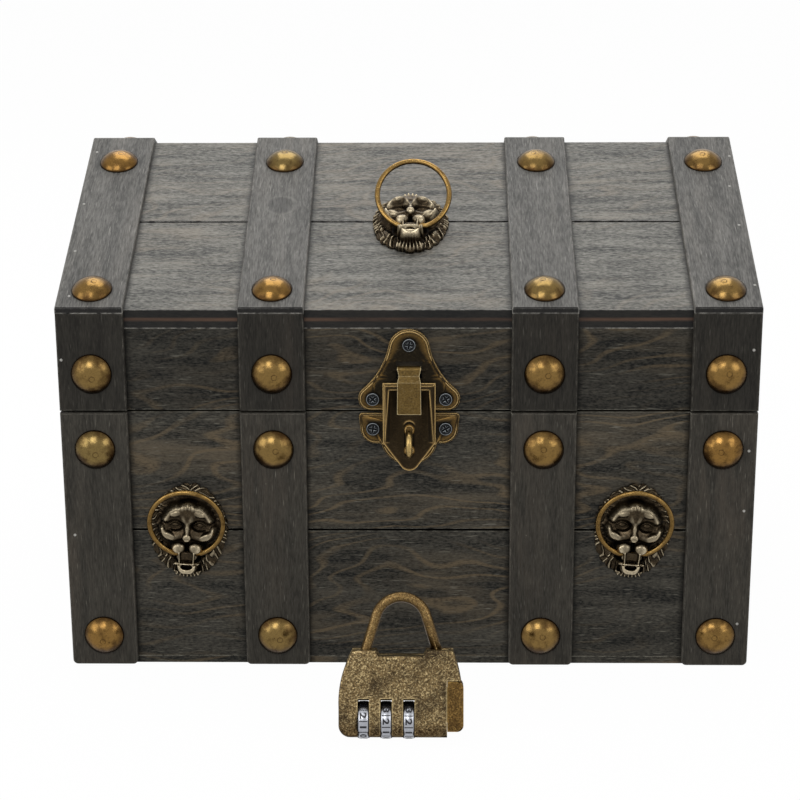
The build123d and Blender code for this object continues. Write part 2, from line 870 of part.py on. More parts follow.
# Hasp: a pressed plate with a raised, mitred rim and a slot for the staple
hasp_back = latch_plate_stand + hasp_clearance
hasp_half = hasp_width / 2
hasp_tip_start = on_circle(0, hasp_tip + hasp_tip_radius, hasp_tip_radius, -hasp_tip_angle)
hasp_tip_via = on_circle(0, hasp_tip + hasp_tip_radius, hasp_tip_radius, -(90 + hasp_tip_angle) / 2)
with BuildPart() as hasp:
    with BuildSketch(latch_face.offset(hasp_back)):
        with BuildLine():
            Line((0, hasp_top), (hasp_half, hasp_top))
            Line((hasp_half, hasp_top), (hasp_half, hasp_shoulder))
            Line((hasp_half, hasp_shoulder), hasp_tip_start)
            ThreePointArc(hasp_tip_start, hasp_tip_via, (0, hasp_tip))
            mirror(about=Plane.YZ)
        make_face()
    extrude(amount=latch_sheet)
    with BuildSketch(latch_face.offset(hasp_back)):
        with BuildLine():
            Polyline(
                (-hasp_half, hasp_shoulder),
                (-hasp_half, hasp_top),
                (hasp_half, hasp_top),
                (hasp_half, hasp_shoulder),
                (hasp_half - hasp_rail_width, hasp_shoulder),
                (hasp_half - hasp_rail_width, hasp_top - hasp_rail_width),
                (hasp_rail_width - hasp_half, hasp_top - hasp_rail_width),
                (hasp_rail_width - hasp_half, hasp_shoulder),
                close=True,
            )
        make_face()
    extrude(amount=hasp_rail_height, taper=hasp_rail_taper)
    with BuildSketch(latch_face):
        with Locations((0, (hasp_slot_top + hasp_slot_bottom) / 2)):
            SlotOverall(hasp_slot_top - hasp_slot_bottom, hasp_slot_width, rotation=90)
    extrude(amount=staple_reach, mode=Mode.SUBTRACT)
save(hasp, "hasp_plate")

# Hasp strap: wraps the pivot bar, steps over the hasp's rim and ends free in front
strap_inner = pivot_bar_radius + running_clearance
strap_outer = strap_inner + hasp_strap_sheet
rim_front = hasp_back + hasp_rail_height
leg_back = pivot_stand + strap_inner
hasp_strap_bend = pivot_height - hasp_strap_bend_drop
hasp_strap_end = pivot_height - hasp_strap_length


def out_from_board(stand, height):
    """YZ point a distance out from the front boards."""
    return -board_face - stand, height


strap_section = [
    out_from_board(leg_back, pivot_height),
    out_from_board(leg_back + hasp_strap_sheet, pivot_height),
    out_from_board(leg_back + hasp_strap_sheet, hasp_strap_bend),
    out_from_board(rim_front + hasp_strap_sheet, hasp_top + hasp_strap_sheet),
    out_from_board(rim_front + hasp_strap_sheet, hasp_strap_end),
    out_from_board(rim_front, hasp_strap_end),
    out_from_board(rim_front, hasp_top + hasp_clearance),
    out_from_board(leg_back, hasp_strap_bend - hasp_clearance),
]
with BuildPart() as hasp_strap:
    with BuildSketch(Plane.YZ.offset(latch_place - hasp_strap_width / 2)):
        with BuildLine():
            Polyline(strap_section, close=True)
        make_face()
        with Locations((pivot_y, pivot_height)):
            Circle(strap_outer)
            Circle(strap_inner, mode=Mode.SUBTRACT)
    extrude(amount=hasp_strap_width)
save(hasp_strap, "hasp_strap")


# Padlock: its own plane stands in the middle of its thickness
lock_y = padlock_thickness / 2 - padlock_front
lock_plane = Plane(origin=(padlock_place, lock_y, 0), x_dir=(1, 0, 0), z_dir=(0, -1, 0))
lock_half = padlock_width / 2
dial_places = [lock_half * share for share in dial_place_shares]
reset_place = lock_half * reset_place_share
slider_left = lock_half - slider_width

# The lean at which the case's rounded rear edge meets the floor
lean_reach = padlock_thickness / 2 - padlock_edge
lean_drop = dial_radius - padlock_foot - padlock_edge
edge_turn = math.acos((dial_radius - padlock_edge) / math.hypot(lean_reach, lean_drop))
padlock_lean = math.degrees(math.atan2(lean_reach, lean_drop) - edge_turn)
dial_line = Axis((0, lock_y, dial_radius), (1, 0, 0))

# The legs of the shackle are tangents from its pivot to its crown
foot_spread = lock_half - shackle_foot_inset
crown_rise = shackle_crown_height - shackle_pivot_height
crown_distance = math.hypot(foot_spread, crown_rise)
leg_angle = math.atan2(foot_spread, crown_rise) - math.asin(shackle_crown_radius / crown_distance)
leg_sin = math.sin(leg_angle)
leg_cos = math.cos(leg_angle)
crown_side = shackle_crown_radius * leg_cos
crown_side_height = shackle_crown_height + shackle_crown_radius * leg_sin


def save_leaning(builder, node):
    """Lean a piece of the padlock back about its dials and write it under its node name."""
    piece = builder.part.rotate(dial_line, -padlock_lean)
    piece.label = node
    export_step(piece, f"parts/{node}.step")


def leg_place(height):
    """Distance of a shackle leg's centre line from the middle at a height."""
    return crown_side + (crown_side_height - height) * leg_sin / leg_cos


pivot_place = -leg_place(shackle_pivot_height)
end_place = leg_place(shackle_end_height)
socket_floor = shackle_end_height - shackle_rod_radius * leg_sin - part_clearance
slot_half = shackle_rod_radius + shackle_slot_clearance
eye_room = shackle_eye_radius + shackle_slot_clearance
shaft_low = dial_places[0] - dial_slot_width / 2 - dial_shaft_end
shaft_high = dial_places[-1] + dial_slot_width / 2 + dial_shaft_end
bay_left = slider_left - slider_play
bay_width = slider_width + part_clearance + cut_overrun
neck_left = slider_left - slider_neck_depth
head_left = neck_left - slider_head_depth
groove_low = slider_foot + slider_end_inset - slider_travel - part_clearance
groove_high = slider_top - slider_end_inset + part_clearance
reset_top = padlock_foot - reset_proud + reset_length


def padlock_case(side, node):
    """One half of the case: side 1 is the front shell and side -1 the back shell."""
    with BuildPart() as case:
        with BuildSketch(lock_plane):
            with BuildLine():
                ThreePointArc(
                    (-lock_half * shoulder_share, padlock_shoulder),
                    (-lock_half * side_via_share, padlock_side_via),
                    (-lock_half, padlock_side_foot),
                )
                Polyline(
                    (-lock_half, padlock_side_foot),
                    (-lock_half, padlock_foot),
                    (lock_half, padlock_foot),
                    (lock_half, padlock_side_foot),
                )
                ThreePointArc(
                    (lock_half, padlock_side_foot),
                    (lock_half * side_via_share, padlock_side_via),
                    (lock_half * right_shoulder_share, padlock_shoulder),
                )
                Polyline(
                    (lock_half * right_shoulder_share, padlock_shoulder),
                    (lock_half * recess_lip_share, padlock_shoulder),
                    (lock_half * recess_foot_share, padlock_recess),
                    (-lock_half * recess_foot_share, padlock_recess),
                    (-lock_half * recess_lip_share, padlock_shoulder),
                    (-lock_half * shoulder_share, padlock_shoulder),
                )
            make_face()
            fillet(vertices().group_by(Axis.Y)[0], padlock_corner)
        extrude(amount=side * padlock_thickness / 2)
        outward = Axis(lock_plane.origin, lock_plane.z_dir * side)
        fillet(case.faces().group_by(outward)[-1].edges(), padlock_edge)

        # Openings for the dials, the slider and the shackle pin
        with BuildSketch(lock_plane):
            with Locations(*[(place, dial_slot_top / 2) for place in dial_places]):
                Rectangle(dial_slot_width, dial_slot_top)
            with Locations((bay_left, 0)):
                Rectangle(bay_width, slider_top + part_clearance, align=(Align.MIN, Align.MIN))
        extrude(amount=padlock_thickness, both=True, mode=Mode.SUBTRACT)
        with BuildSketch(lock_plane):
            with Locations((pivot_place, shackle_pivot_height)):
                Circle(shackle_pin_radius + running_clearance)
        extrude(amount=padlock_thickness / 2 - padlock_wall, both=True, mode=Mode.SUBTRACT)

        # Room for the swinging left leg and the caught right leg
        with BuildSketch(lock_plane):
            with BuildLine():
                Polyline(
                    (pivot_place - eye_room, shackle_pivot_height),
                    (pivot_place + eye_room, shackle_pivot_height),
                    (pivot_place + eye_room + shackle_rod_radius / 2, padlock_shoulder + cut_overrun),
                    (-lock_half, padlock_shoulder + cut_overrun),
                    (-lock_half, shackle_pivot_height + shackle_pin_radius),
                    close=True,
                )
            make_face()
            with Locations((pivot_place, shackle_pivot_height)):
                Circle(eye_room)
            with BuildLine():
                Polyline(
                    (end_place - socket_inset, socket_floor),
                    (end_place + socket_outset, socket_floor),
                    (end_place + socket_outset, padlock_shoulder + cut_overrun),
                    (leg_place(padlock_shoulder) - socket_outset, padlock_shoulder + cut_overrun),
                    close=True,
                )
            make_face()
        extrude(amount=slot_half, both=True, mode=Mode.SUBTRACT)

        # Groove for the slider's T-shaped tongue
        with BuildSketch(lock_plane):
            with Locations(((neck_left + slider_left) / 2, (groove_low + groove_high) / 2)):
                Rectangle(slider_left - neck_left, groove_high - groove_low)
        extrude(amount=slider_neck_width / 2 + part_clearance, both=True, mode=Mode.SUBTRACT)
        with BuildSketch(lock_plane):
            with Locations(((head_left + neck_left) / 2, (groove_low + groove_high) / 2)):
                Rectangle(slider_head_depth + 2 * part_clearance, groove_high - groove_low)
        extrude(amount=slider_head_width / 2 + part_clearance, both=True, mode=Mode.SUBTRACT)

        # Bores of the dial shaft and the reset button
        with BuildSketch(Plane.YZ.offset(padlock_place + shaft_low)):
            with Locations((lock_y, dial_radius)):
                Circle(dial_shaft_radius + running_clearance)
        extrude(amount=shaft_high - shaft_low, mode=Mode.SUBTRACT)
        with BuildSketch(Plane.XY):
            with Locations((padlock_place + reset_place, lock_y)):
                Circle(reset_radius + running_clearance)
        extrude(amount=reset_top + reset_travel + part_clearance, mode=Mode.SUBTRACT)
    save_leaning(case, node)


padlock_case(1, "padlock_case_front")
padlock_case(-1, "padlock_case_back")

with BuildPart() as shackle:
    with BuildLine(lock_plane) as shackle_path:
        Line((end_place, shackle_end_height), (crown_side, crown_side_height))
        ThreePointArc(
            (crown_side, crown_side_height),
            (0, shackle_crown_height + shackle_crown_radius),
            (-crown_side, crown_side_height),
        )
        Line((-crown_side, crown_side_height), (pivot_place, shackle_pivot_height))
    with BuildSketch(Plane(origin=shackle_path.line @ 0, z_dir=shackle_path.line % 0)):
        Circle(shackle_rod_radius)
    sweep()
    with BuildSketch(lock_plane):
        with Locations((pivot_place, shackle_pivot_height)):
            Circle(shackle_eye_radius)
    extrude(amount=shackle_eye_thickness / 2, both=True)
    with BuildSketch(lock_plane):
        with Locations((pivot_place, shackle_pivot_height)):
            Circle(shackle_pin_radius + running_clearance)
    extrude(amount=padlock_thickness, both=True, mode=Mode.SUBTRACT)
save_leaning(shackle, "shackle")

with BuildPart() as shackle_pin:
    with BuildSketch(lock_plane):
        with Locations((pivot_place, shackle_pivot_height)):
            Circle(shackle_pin_radius)
    extrude(amount=padlock_thickness / 2 - padlock_wall, both=True)
save_leaning(shackle_pin, "shackle_pin")

with BuildPart() as dial_shaft:
    with BuildSketch(Plane.YZ.offset(padlock_place + shaft_low)):
        with Locations((lock_y, dial_radius)):
            Circle(dial_shaft_radius)
    extrude(amount=shaft_high - shaft_low)
save_leaning(dial_shaft, "dial_shaft")

for side, place in zip(("left", "middle", "right"), dial_places):
    with BuildPart() as dial:
        with BuildSketch(Plane.YZ.offset(padlock_place + place - dial_width / 2)):
            with Locations((lock_y, dial_radius)):
                Circle(dial_radius)
        extrude(amount=dial_width)
        chamfer(dial.edges(), dial_ease)
        with BuildSketch(Plane.YZ.offset(padlock_place + place - dial_width / 2)):
            with Locations((lock_y, dial_radius)):
                Circle(dial_shaft_radius + running_clearance)
        extrude(amount=dial_width, mode=Mode.SUBTRACT)
    save_leaning(dial, f"dial_{side}")

with BuildPart() as slider:
    with BuildSketch(lock_plane):
        with Locations((slider_left + slider_width / 2, (slider_foot + slider_top) / 2)):
            Rectangle(slider_width, slider_top - slider_foot)
        fillet(vertices().group_by(Axis.X)[-1], slider_corner)
    extrude(amount=slider_thickness / 2, both=True)
    with BuildSketch(lock_plane):
        with Locations(((neck_left + slider_left) / 2, (slider_foot + slider_top) / 2)):
            Rectangle(slider_left - neck_left, slider_top - slider_foot - 2 * slider_end_inset)
    extrude(amount=slider_neck_width / 2, both=True)
    with BuildSketch(lock_plane):
        with Locations(((head_left + neck_left) / 2, (slider_foot + slider_top) / 2)):
            Rectangle(slider_head_depth, slider_top - slider_foot - 2 * slider_end_inset)
    extrude(amount=slider_head_width / 2, both=True)
save_leaning(slider, "release_slider")

with BuildPart() as reset_button:
    with BuildSketch(Plane.XY.offset(padlock_foot - reset_proud)):
        with Locations((padlock_place + reset_place, lock_y)):
            Circle(reset_radius)
    extrude(amount=reset_length)
save_leaning(reset_button, "reset_button")
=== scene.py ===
import json
import logging
import math
from dataclasses import dataclass, field
from enum import Enum
from typing import Callable, Sequence

import bmesh
import bpy
import numpy as np
from mathutils import Matrix, Vector

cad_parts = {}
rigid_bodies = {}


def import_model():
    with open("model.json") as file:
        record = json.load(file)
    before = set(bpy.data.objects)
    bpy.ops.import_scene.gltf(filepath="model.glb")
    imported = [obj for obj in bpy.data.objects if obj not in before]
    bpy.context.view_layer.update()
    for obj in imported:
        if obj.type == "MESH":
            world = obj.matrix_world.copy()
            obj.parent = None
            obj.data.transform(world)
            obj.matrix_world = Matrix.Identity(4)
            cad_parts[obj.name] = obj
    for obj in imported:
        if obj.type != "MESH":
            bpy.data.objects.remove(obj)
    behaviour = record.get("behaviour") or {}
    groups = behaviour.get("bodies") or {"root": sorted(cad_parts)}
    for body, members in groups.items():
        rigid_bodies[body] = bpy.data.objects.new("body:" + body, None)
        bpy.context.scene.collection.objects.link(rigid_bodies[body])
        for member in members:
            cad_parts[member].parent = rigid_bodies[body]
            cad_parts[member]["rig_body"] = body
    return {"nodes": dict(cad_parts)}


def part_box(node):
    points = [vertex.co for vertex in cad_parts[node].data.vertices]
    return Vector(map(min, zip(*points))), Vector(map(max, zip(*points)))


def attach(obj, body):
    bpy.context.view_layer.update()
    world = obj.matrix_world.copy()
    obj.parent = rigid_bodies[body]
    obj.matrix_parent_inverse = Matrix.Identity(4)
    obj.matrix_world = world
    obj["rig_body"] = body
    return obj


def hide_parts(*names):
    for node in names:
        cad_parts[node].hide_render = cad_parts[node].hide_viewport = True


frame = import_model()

# Looks of a small wooden treasure chest with brass fittings and a separate padlock.
# Sizes are in millimetres in the classes and become metres when a mesh is made.

logging.basicConfig(level=logging.INFO, format="%(message)s")
log = logging.getLogger("chest")

MM = 0.001
NODES = frame["nodes"]
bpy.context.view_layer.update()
Socket = bpy.types.NodeSocket
Triple = tuple[float, float, float]
Pair = tuple[float, float]


def linear(red: float, green: float, blue: float) -> Triple:
    """Turns a colour written from 0 to 255 into the light values a shader takes.

    Args:
        red: red from 0 to 255.
        green: green from 0 to 255.
        blue: blue from 0 to 255.

    Returns:
        The three linear values.
    """
    shares = [value / 255 for value in (red, green, blue)]
    return tuple(s / 12.92 if s <= 0.04045 else ((s + 0.055) / 1.055) ** 2.4 for s in shares)


def add_node(
    tree: bpy.types.NodeTree, kind: str, values: dict | None = None, **settings: object
) -> bpy.types.Node:
    """Adds a node to a tree.

    Args:
        tree: the tree.
        kind: Blender's name of the node type.
        values: what goes into its inputs, by name or number: a value or a socket.
        **settings: the node's own options.

    Returns:
        The new node.
    """
    made = tree.nodes.new(kind)
    for option, setting in settings.items():
        setattr(made, option, setting)
    for key, value in (values or {}).items():
        if isinstance(value, Socket):
            tree.links.new(value, made.inputs[key])
        elif value is not None:
            made.inputs[key].default_value = value
    return made


def show(name: str, data: bpy.types.ID) -> bpy.types.Object:
    """Puts a mesh, text, lamp or camera into the scene.

    Args:
        name: the new object's name.
        data: what it holds.

    Returns:
        The new object.
    """
    made = bpy.data.objects.new(name, data)
    bpy.context.scene.collection.objects.link(made)
    return made


class Grain(Enum):
    """The direction in which the fibres of a wooden piece run."""

    ALONG_FRONT = (1.0, 0.0, 0.0)
    ALONG_SIDE = (0.0, 1.0, 0.0)
    UPWARDS = (0.0, 0.0, 1.0)
    UP_AND_BACK = (0.0, 1.0, 1.0)


class Shader:
    """A material's node tree, with one short call for each kind of node."""

    def __init__(self, name: str) -> None:
        """Starts an empty material.

        Args:
            name: the material's name.
        """
        self.material = bpy.data.materials.new(name)
        self.material.use_nodes = True
        self.tree = self.material.node_tree
        self.tree.nodes.clear()
        source = self.node("ShaderNodeTexCoord").outputs
        self.place, self.facing = source["Object"], source["Normal"]

    def node(self, kind: str, values: dict | None = None, **settings: object) -> bpy.types.Node:
        """Adds a node to the material, as add_node does."""
        return add_node(self.tree, kind, values, **settings)

    def math(self, operation: str, first: object, second: object = 0.0) -> Socket:
        """Joins two numbers.

        Args:
            operation: such as ADD or MULTIPLY.
            first: the first number or socket.
            second: the second number or socket.

        Returns:
            The socket of the result.
        """
        return self.node("ShaderNodeMath", {0: first, 1: second}, operation=operation).outputs[0]

    def stretched(self, scale: Triple, shift: Triple = (0, 0, 0), turn: Triple = (0, 0, 0)) -> Socket:
        """Gives the place on the piece, moved, turned and stretched.

        Args:
            scale: stretch in each direction, per metre.
            shift: how far the pattern is moved, in metres.
            turn: turn about each axis, in degrees.

        Returns:
            The socket of the stretched place.
        """
        angles = [math.radians(angle) for angle in turn]
        moved = self.node("ShaderNodeMapping", {"Vector": self.place, "Location": shift, "Rotation": angles})
        return self.node("ShaderNodeVectorMath", {0: moved.outputs[0], 1: scale}, operation="MULTIPLY").outputs[0]

    def noise(self, vector: Socket, scale: float = 1.0, detail: float = 3.0, roughness: float = 0.55) -> Socket:
        """Gives soft random values from 0 to 1.

        Args:
            vector: where to read them.
            scale: how fine they are.
            detail: how many finer layers lie on the first.
            roughness: how strong those layers are.

        Returns:
            The socket of the values.
        """
        values = {"Vector": vector, "Scale": scale, "Detail": detail, "Roughness": roughness}
        return self.node("ShaderNodeTexNoise", values).outputs[0]

    def span(self, value: Socket, low: float, high: float, to_low: float = 0.0, to_high: float = 1.0) -> Socket:
        """Stretches a range of values to another and holds its ends.

        Args:
            value: the socket to read.
            low: where the range starts.
            high: where the range ends.
            to_low: what its start becomes.
            to_high: what its end becomes.

        Returns:
            The socket of the new values.
        """
        values = {"Value": value, "From Min": low, "From Max": high, "To Min": to_low, "To Max": to_high}
        return self.node("ShaderNodeMapRange", values).outputs[0]

    def blend(self, share: object, first: object, second: object) -> Socket:
        """Mixes two colours.

        Args:
            share: how much of the second one shows.
            first: a colour of three values, or a socket.
            second: a colour of three values, or a socket.

        Returns:
            The socket of the mixed colour.
        """
        ends = [(*end, 1.0) if isinstance(end, tuple) else end for end in (first, second)]
        return self.node("ShaderNodeMix", {0: share, 6: ends[0], 7: ends[1]}, data_type="RGBA").outputs[2]

    def tint(self, share: object, colour: Socket, factor: Triple) -> Socket:
        """Darkens or tints a colour.

        Args:
            share: where it is tinted, from 0 to 1.
            colour: the colour.
            factor: what its three values are multiplied by.

        Returns:
            The socket of the tinted colour.
        """
        values = {0: share, 6: colour, 7: (*factor, 1.0)}
        return self.node("ShaderNodeMix", values, data_type="RGBA", blend_type="MULTIPLY").outputs[2]

    def product(self, *values: object) -> Socket:
        """Multiplies any number of values."""
        result = values[0]
        for value in values[1:]:
            result = self.math("MULTIPLY", result, value)
        return result

    def axes(self, vector: Socket) -> tuple[Socket, Socket, Socket]:
        """Splits a vector into its three values.

        Args:
            vector: the vector.

        Returns:
            The sockets of x, y and z.
        """
        parts = self.node("ShaderNodeSeparateXYZ", {0: vector}).outputs
        return parts[0], parts[1], parts[2]

    def edge(self, radius: float, low: float, high: float, samples: int = 6) -> Socket:
        """Finds the surface near sharp edges.

        Args:
            radius: how far from an edge it reaches, in millimetres.
            low: the change of direction where it starts, from 0 to 1.
            high: the change of direction where it is full.
            samples: how many rays look for the edge.

        Returns:
            The socket of a value that is 1 at an edge.
        """
        round_normal = self.node("ShaderNodeBevel", {"Radius": radius * MM}, samples=samples).outputs[0]
        normal = self.node("ShaderNodeNewGeometry").outputs["Normal"]
        same = self.node("ShaderNodeVectorMath", {0: round_normal, 1: normal}, operation="DOT_PRODUCT").outputs["Value"]
        return self.span(self.math("SUBTRACT", 1.0, same), low, high)

    def attribute(self, name: str) -> Socket:
        """Reads a value that the mesh carries.

        Args:
            name: the attribute's name.

        Returns:
            The socket of its value.
        """
        return self.node("ShaderNodeAttribute", attribute_name=name).outputs["Fac"]

    def near(self, spot: Triple, radius: float, rim: float) -> Socket:
        """Marks a round spot.

        Args:
            spot: its middle, in millimetres.
            radius: its radius, in millimetres.
            rim: the width of its soft rim, in millimetres.

        Returns:
            The socket of a value that is 1 inside the spot.
        """
        middle = tuple(value * MM for value in spot)
        away = self.node("ShaderNodeVectorMath", {0: self.place, 1: middle}, operation="DISTANCE").outputs["Value"]
        return self.span(away, (radius + rim) * MM, radius * MM)

    def finish(
        self, colour: Socket, roughness: object, metallic: float, height: Socket | None = None,
        relief: float = 0.0, specular: float = 0.5,
    ) -> bpy.types.Material:
        """Closes the tree with one surface shader.

        Args:
            colour: the surface colour.
            roughness: how matt it is, a number or a socket.
            metallic: 1 for metal and 0 for anything else.
            height: the relief pattern, if there is one.
            relief: the depth of that pattern, in millimetres.
            specular: how strongly a surface that isn't metal mirrors.

        Returns:
            The finished material.
        """
        values = {"Base Color": colour, "Roughness": roughness, "Metallic": metallic, "Specular IOR Level": specular}
        if height is not None:
            bump = self.node("ShaderNodeBump", {"Height": height, "Distance": relief * MM, "Strength": 1.0})
            values["Normal"] = bump.outputs[0]
        surface = self.node("ShaderNodeBsdfPrincipled", values)
        self.node("ShaderNodeOutputMaterial", {"Surface": surface.outputs[0]})
        return self.material


@dataclass(frozen=True)
class WoodFinish:
    """Stained wood: short fibres, cloudy tan streaks, faint year rings, specks, worn edges, and painted shade by straps
    and eaves.
    """

    dark: Triple
    light: Triple
    tan: Triple
    worn: Triple
    grain: Grain
    streaks: float = 0.5
    rings: float = 0.4
    ring_pitch: float = 6.5
    fibre_length: float = 2.6
    fibre_width: float = 0.62
    scuffs: float = 0.6
    beside_straps: float = 0.0
    strap_edges: tuple[float, ...] = (41.25, 67.55, 113.0)
    upright: Triple | None = None
    patch: Triple | None = None
    worn_height: float = 147.9
    seam_height: float = 59.1
    seam_reach: float = 0.8
    lid_height: float = 110.0
    lid_tint: float = 0.0
    gloss: float = 0.1
    streak_size: Pair = (38.0, 5.0)
    cloud_size: Pair = (85.0, 26.0)
    dash_size: Pair = (7.0, 0.5)
    waver_size: Pair = (95.0, 30.0)
    waver_reach: float = 0.07
    core_lean: float = 0.21
    relief: float = 0.12
    strap_dirt: Triple = (0.2, 0.2, 0.2)
    seam_dark: Triple = (0.12, 0.12, 0.12)
    worn_line: Triple = linear(84, 62, 48)

    def stretch(self, length: float, width: float) -> Triple:
        """Gives a stretch for marks of a length along the grain and a width across it, in millimetres."""
        return tuple(1000.0 / (length if axis else width) for axis in self.grain.value)

    def flecks(
        self, shader: Shader, shift: Triple, size: Pair, detail: float, roughness: float = 0.55
    ) -> Socket:
        """Draws soft marks that run along the grain.

        Args:
            shader: the tree to add to.
            shift: where this board was cut from.
            size: the marks' length along the grain and width across it, in millimetres.
            detail: how many finer layers lie on the first.
            roughness: how strong those layers are.

        Returns:
            The socket of the marks' values.
        """
        return shader.noise(shader.stretched(self.stretch(*size), shift), detail=detail, roughness=roughness)

    def make(self, name: str, seed: float) -> bpy.types.Material:
        """Builds the material for one board.

        Args:
            name: the material's name.
            seed: a number that gives each board its own pattern.

        Returns:
            The material.
        """
        shader = Shader(name)
        shift = (0.37 * seed, 0.23 * seed, 0.31 * seed)
        fibre = self.flecks(shader, shift, (self.fibre_length, self.fibre_width), 3, 0.7)
        streak = self.flecks(shader, shift, self.streak_size, 5, 0.62)
        cloud = self.flecks(shader, shift, self.cloud_size, 2)
        dashes = self.flecks(shader, shift[::-1], self.dash_size, 1)
        tone = shader.math("ADD", shader.math("MULTIPLY", fibre, 0.6), shader.math("MULTIPLY", streak, 0.4))
        colour = shader.blend(shader.span(tone, 0.4, 0.62), self.dark, self.light)
        tan_share = shader.product(shader.span(streak, 0.4, 0.68), shader.span(cloud, 0.44, 0.66), self.streaks)
        colour = shader.blend(tan_share, colour, self.tan)
        broken = shader.product(shader.span(cloud, 0.36, 0.6), shader.span(fibre, 0.3, 0.6, 0.3, 1.0))
        figure = shader.product(self.year_rings(shader, shift), broken, self.rings)
        colour = shader.blend(figure, colour, self.tan)
        colour = shader.blend(shader.product(shader.span(dashes, 0.66, 0.76), 0.4), colour, self.worn)
        colour = shader.blend(shader.product(shader.span(dashes, 0.33, 0.25), 0.6), colour, self.dark)
        scratch = shader.noise(shader.stretched((900.0, 130.0, 420.0), shift, (18, 30, 12)), detail=1)
        speck = shader.noise(shader.place, 420.0, 1.0)
        marks = shader.math("MAXIMUM", shader.span(scratch, 0.8, 0.86), shader.span(speck, 0.82, 0.87))
        colour = shader.blend(shader.math("MULTIPLY", marks, 0.4), colour, self.worn)
        if self.patch is not None:
            colour = self.filled_hole(shader, colour)
        # painted shade beside the straps: the board is darkened where the strap edges would shade it
        if self.beside_straps:
            painted_strap_shade = shader.math("MULTIPLY", self.strap_shadow(shader), self.beside_straps)
            colour = shader.tint(painted_strap_shade, colour, self.strap_dirt)
        # painted shade on the upright faces of sloped pieces, with a worn line along the eaves
        if self.upright is not None:
            colour = self.eaves_face(shader, colour, streak)
        height = shader.axes(shader.place)[2]
        from_seam = shader.math("ABSOLUTE", shader.math("SUBTRACT", height, self.seam_height * MM))
        in_seam = shader.span(from_seam, self.seam_reach * MM, 0.6 * self.seam_reach * MM)
        if self.grain in (Grain.ALONG_FRONT, Grain.ALONG_SIDE):
            colour = shader.tint(in_seam, colour, self.seam_dark)
        if self.lid_tint:
            on_lid = shader.span(height, self.lid_height * MM, (self.lid_height + 0.5) * MM, 0.0, self.lid_tint)
            colour = shader.tint(on_lid, colour, (0.0, 0.0, 0.0))
        uneven = shader.span(shader.noise(shader.place, 330.0, 3.0), 0.36, 0.6)
        rubbed = shader.product(shader.edge(0.75, 0.02, 0.2), uneven, self.scuffs)
        colour = shader.blend(rubbed, colour, self.worn)
        rough = shader.span(fibre, 0.3, 0.7, 0.6, 0.48)
        return shader.finish(colour, rough, 0.0, tone, self.relief, specular=self.gloss)

    def strap_shadow(self, shader: Shader) -> Socket:
        """Finds the painted shade on a board along the straps, on its outward faces.

        Args:
            shader: the tree to add to.

        Returns:
            The socket of a value that is 1 against a strap.
        """
        across = shader.math("ABSOLUTE", shader.axes(shader.place)[0])
        gaps = [shader.math("ABSOLUTE", shader.math("SUBTRACT", across, edge * MM)) for edge in self.strap_edges]
        nearest = shader.math("MINIMUM", shader.math("MINIMUM", gaps[0], gaps[1]), gaps[2])
        ragged = shader.span(shader.noise(shader.place, 160.0, 3.0), 0.3, 0.7, 1.2 * MM, 3.6 * MM)
        shadow = shader.node("ShaderNodeMapRange", {"Value": nearest, "From Min": ragged, "From Max": 0.0}).outputs[0]
        faced, front = shader.axes(shader.facing), shader.math("SIGN", shader.axes(shader.place)[1])
        outward = shader.math("ADD", shader.math("MULTIPLY", faced[1], front), faced[2])
        return shader.math("MULTIPLY", shadow, shader.span(outward, 0.2, 0.5))

    def eaves_face(self, shader: Shader, colour: Socket, streak: Socket) -> Socket:
        """Paints shade on the upright face under the eaves and draws its worn line.

        Args:
            shader: the tree to add to.
            colour: the colour of the wood.
            streak: the long streaks of the wood.

        Returns:
            The socket of the new colour.
        """
        steep = shader.span(shader.math("ABSOLUTE", shader.axes(shader.facing)[1]), 0.6, 0.8)
        colour = shader.tint(steep, colour, self.upright)
        away = shader.math("ABSOLUTE", shader.math("SUBTRACT", shader.axes(shader.place)[2], self.worn_height * MM))
        line = shader.product(steep, shader.span(away, 1.0 * MM, 0.3 * MM), shader.span(streak, 0.36, 0.6, 0.1, 0.75))
        return shader.blend(line, colour, self.worn_line)

    def year_rings(self, shader: Shader, shift: Triple) -> Socket:
        """Draws the year rings that a flat-sawn board shows.

        Args:
            shader: the tree to add to.
            shift: where this board was cut from.

        Returns:
            The socket of a value that is 1 on a ring line.
        """
        waver = shader.math("SUBTRACT", self.flecks(shader, shift, self.waver_size, 2), 0.5)
        x, y, z = shader.axes(shader.stretched((1.0, 1.0, 1.0), shift))
        if self.grain is Grain.ALONG_SIDE:
            x, y = y, x
        across = shader.math("SUBTRACT", z, shader.math("MULTIPLY", x, self.core_lean))
        squares = [shader.math("POWER", value, 2.0) for value in (across, y)]
        radius = shader.math("SQRT", shader.math("ADD", *squares))
        radius = shader.math("ADD", radius, shader.math("MULTIPLY", waver, self.waver_reach))
        wave = shader.math("SINE", shader.math("MULTIPLY", radius, math.tau / (self.ring_pitch * MM)))
        return shader.span(wave, 0.55, 1.0)

    def filled_hole(self, shader: Shader, colour: Socket) -> Socket:
        """Draws a filled knot hole.

        Args:
            shader: the tree to add to.
            colour: the colour of the wood.

        Returns:
            The socket of the colour with the filling.
        """
        inside = shader.near(self.patch, 5.2, 1.4)
        ring = shader.math("SUBTRACT", shader.near(self.patch, 6.6, 1.0), inside)
        colour = shader.tint(shader.math("MULTIPLY", inside, 0.8), colour, (0.62, 0.62, 0.62))
        return shader.blend(shader.math("MULTIPLY", ring, 0.09), colour, self.worn)


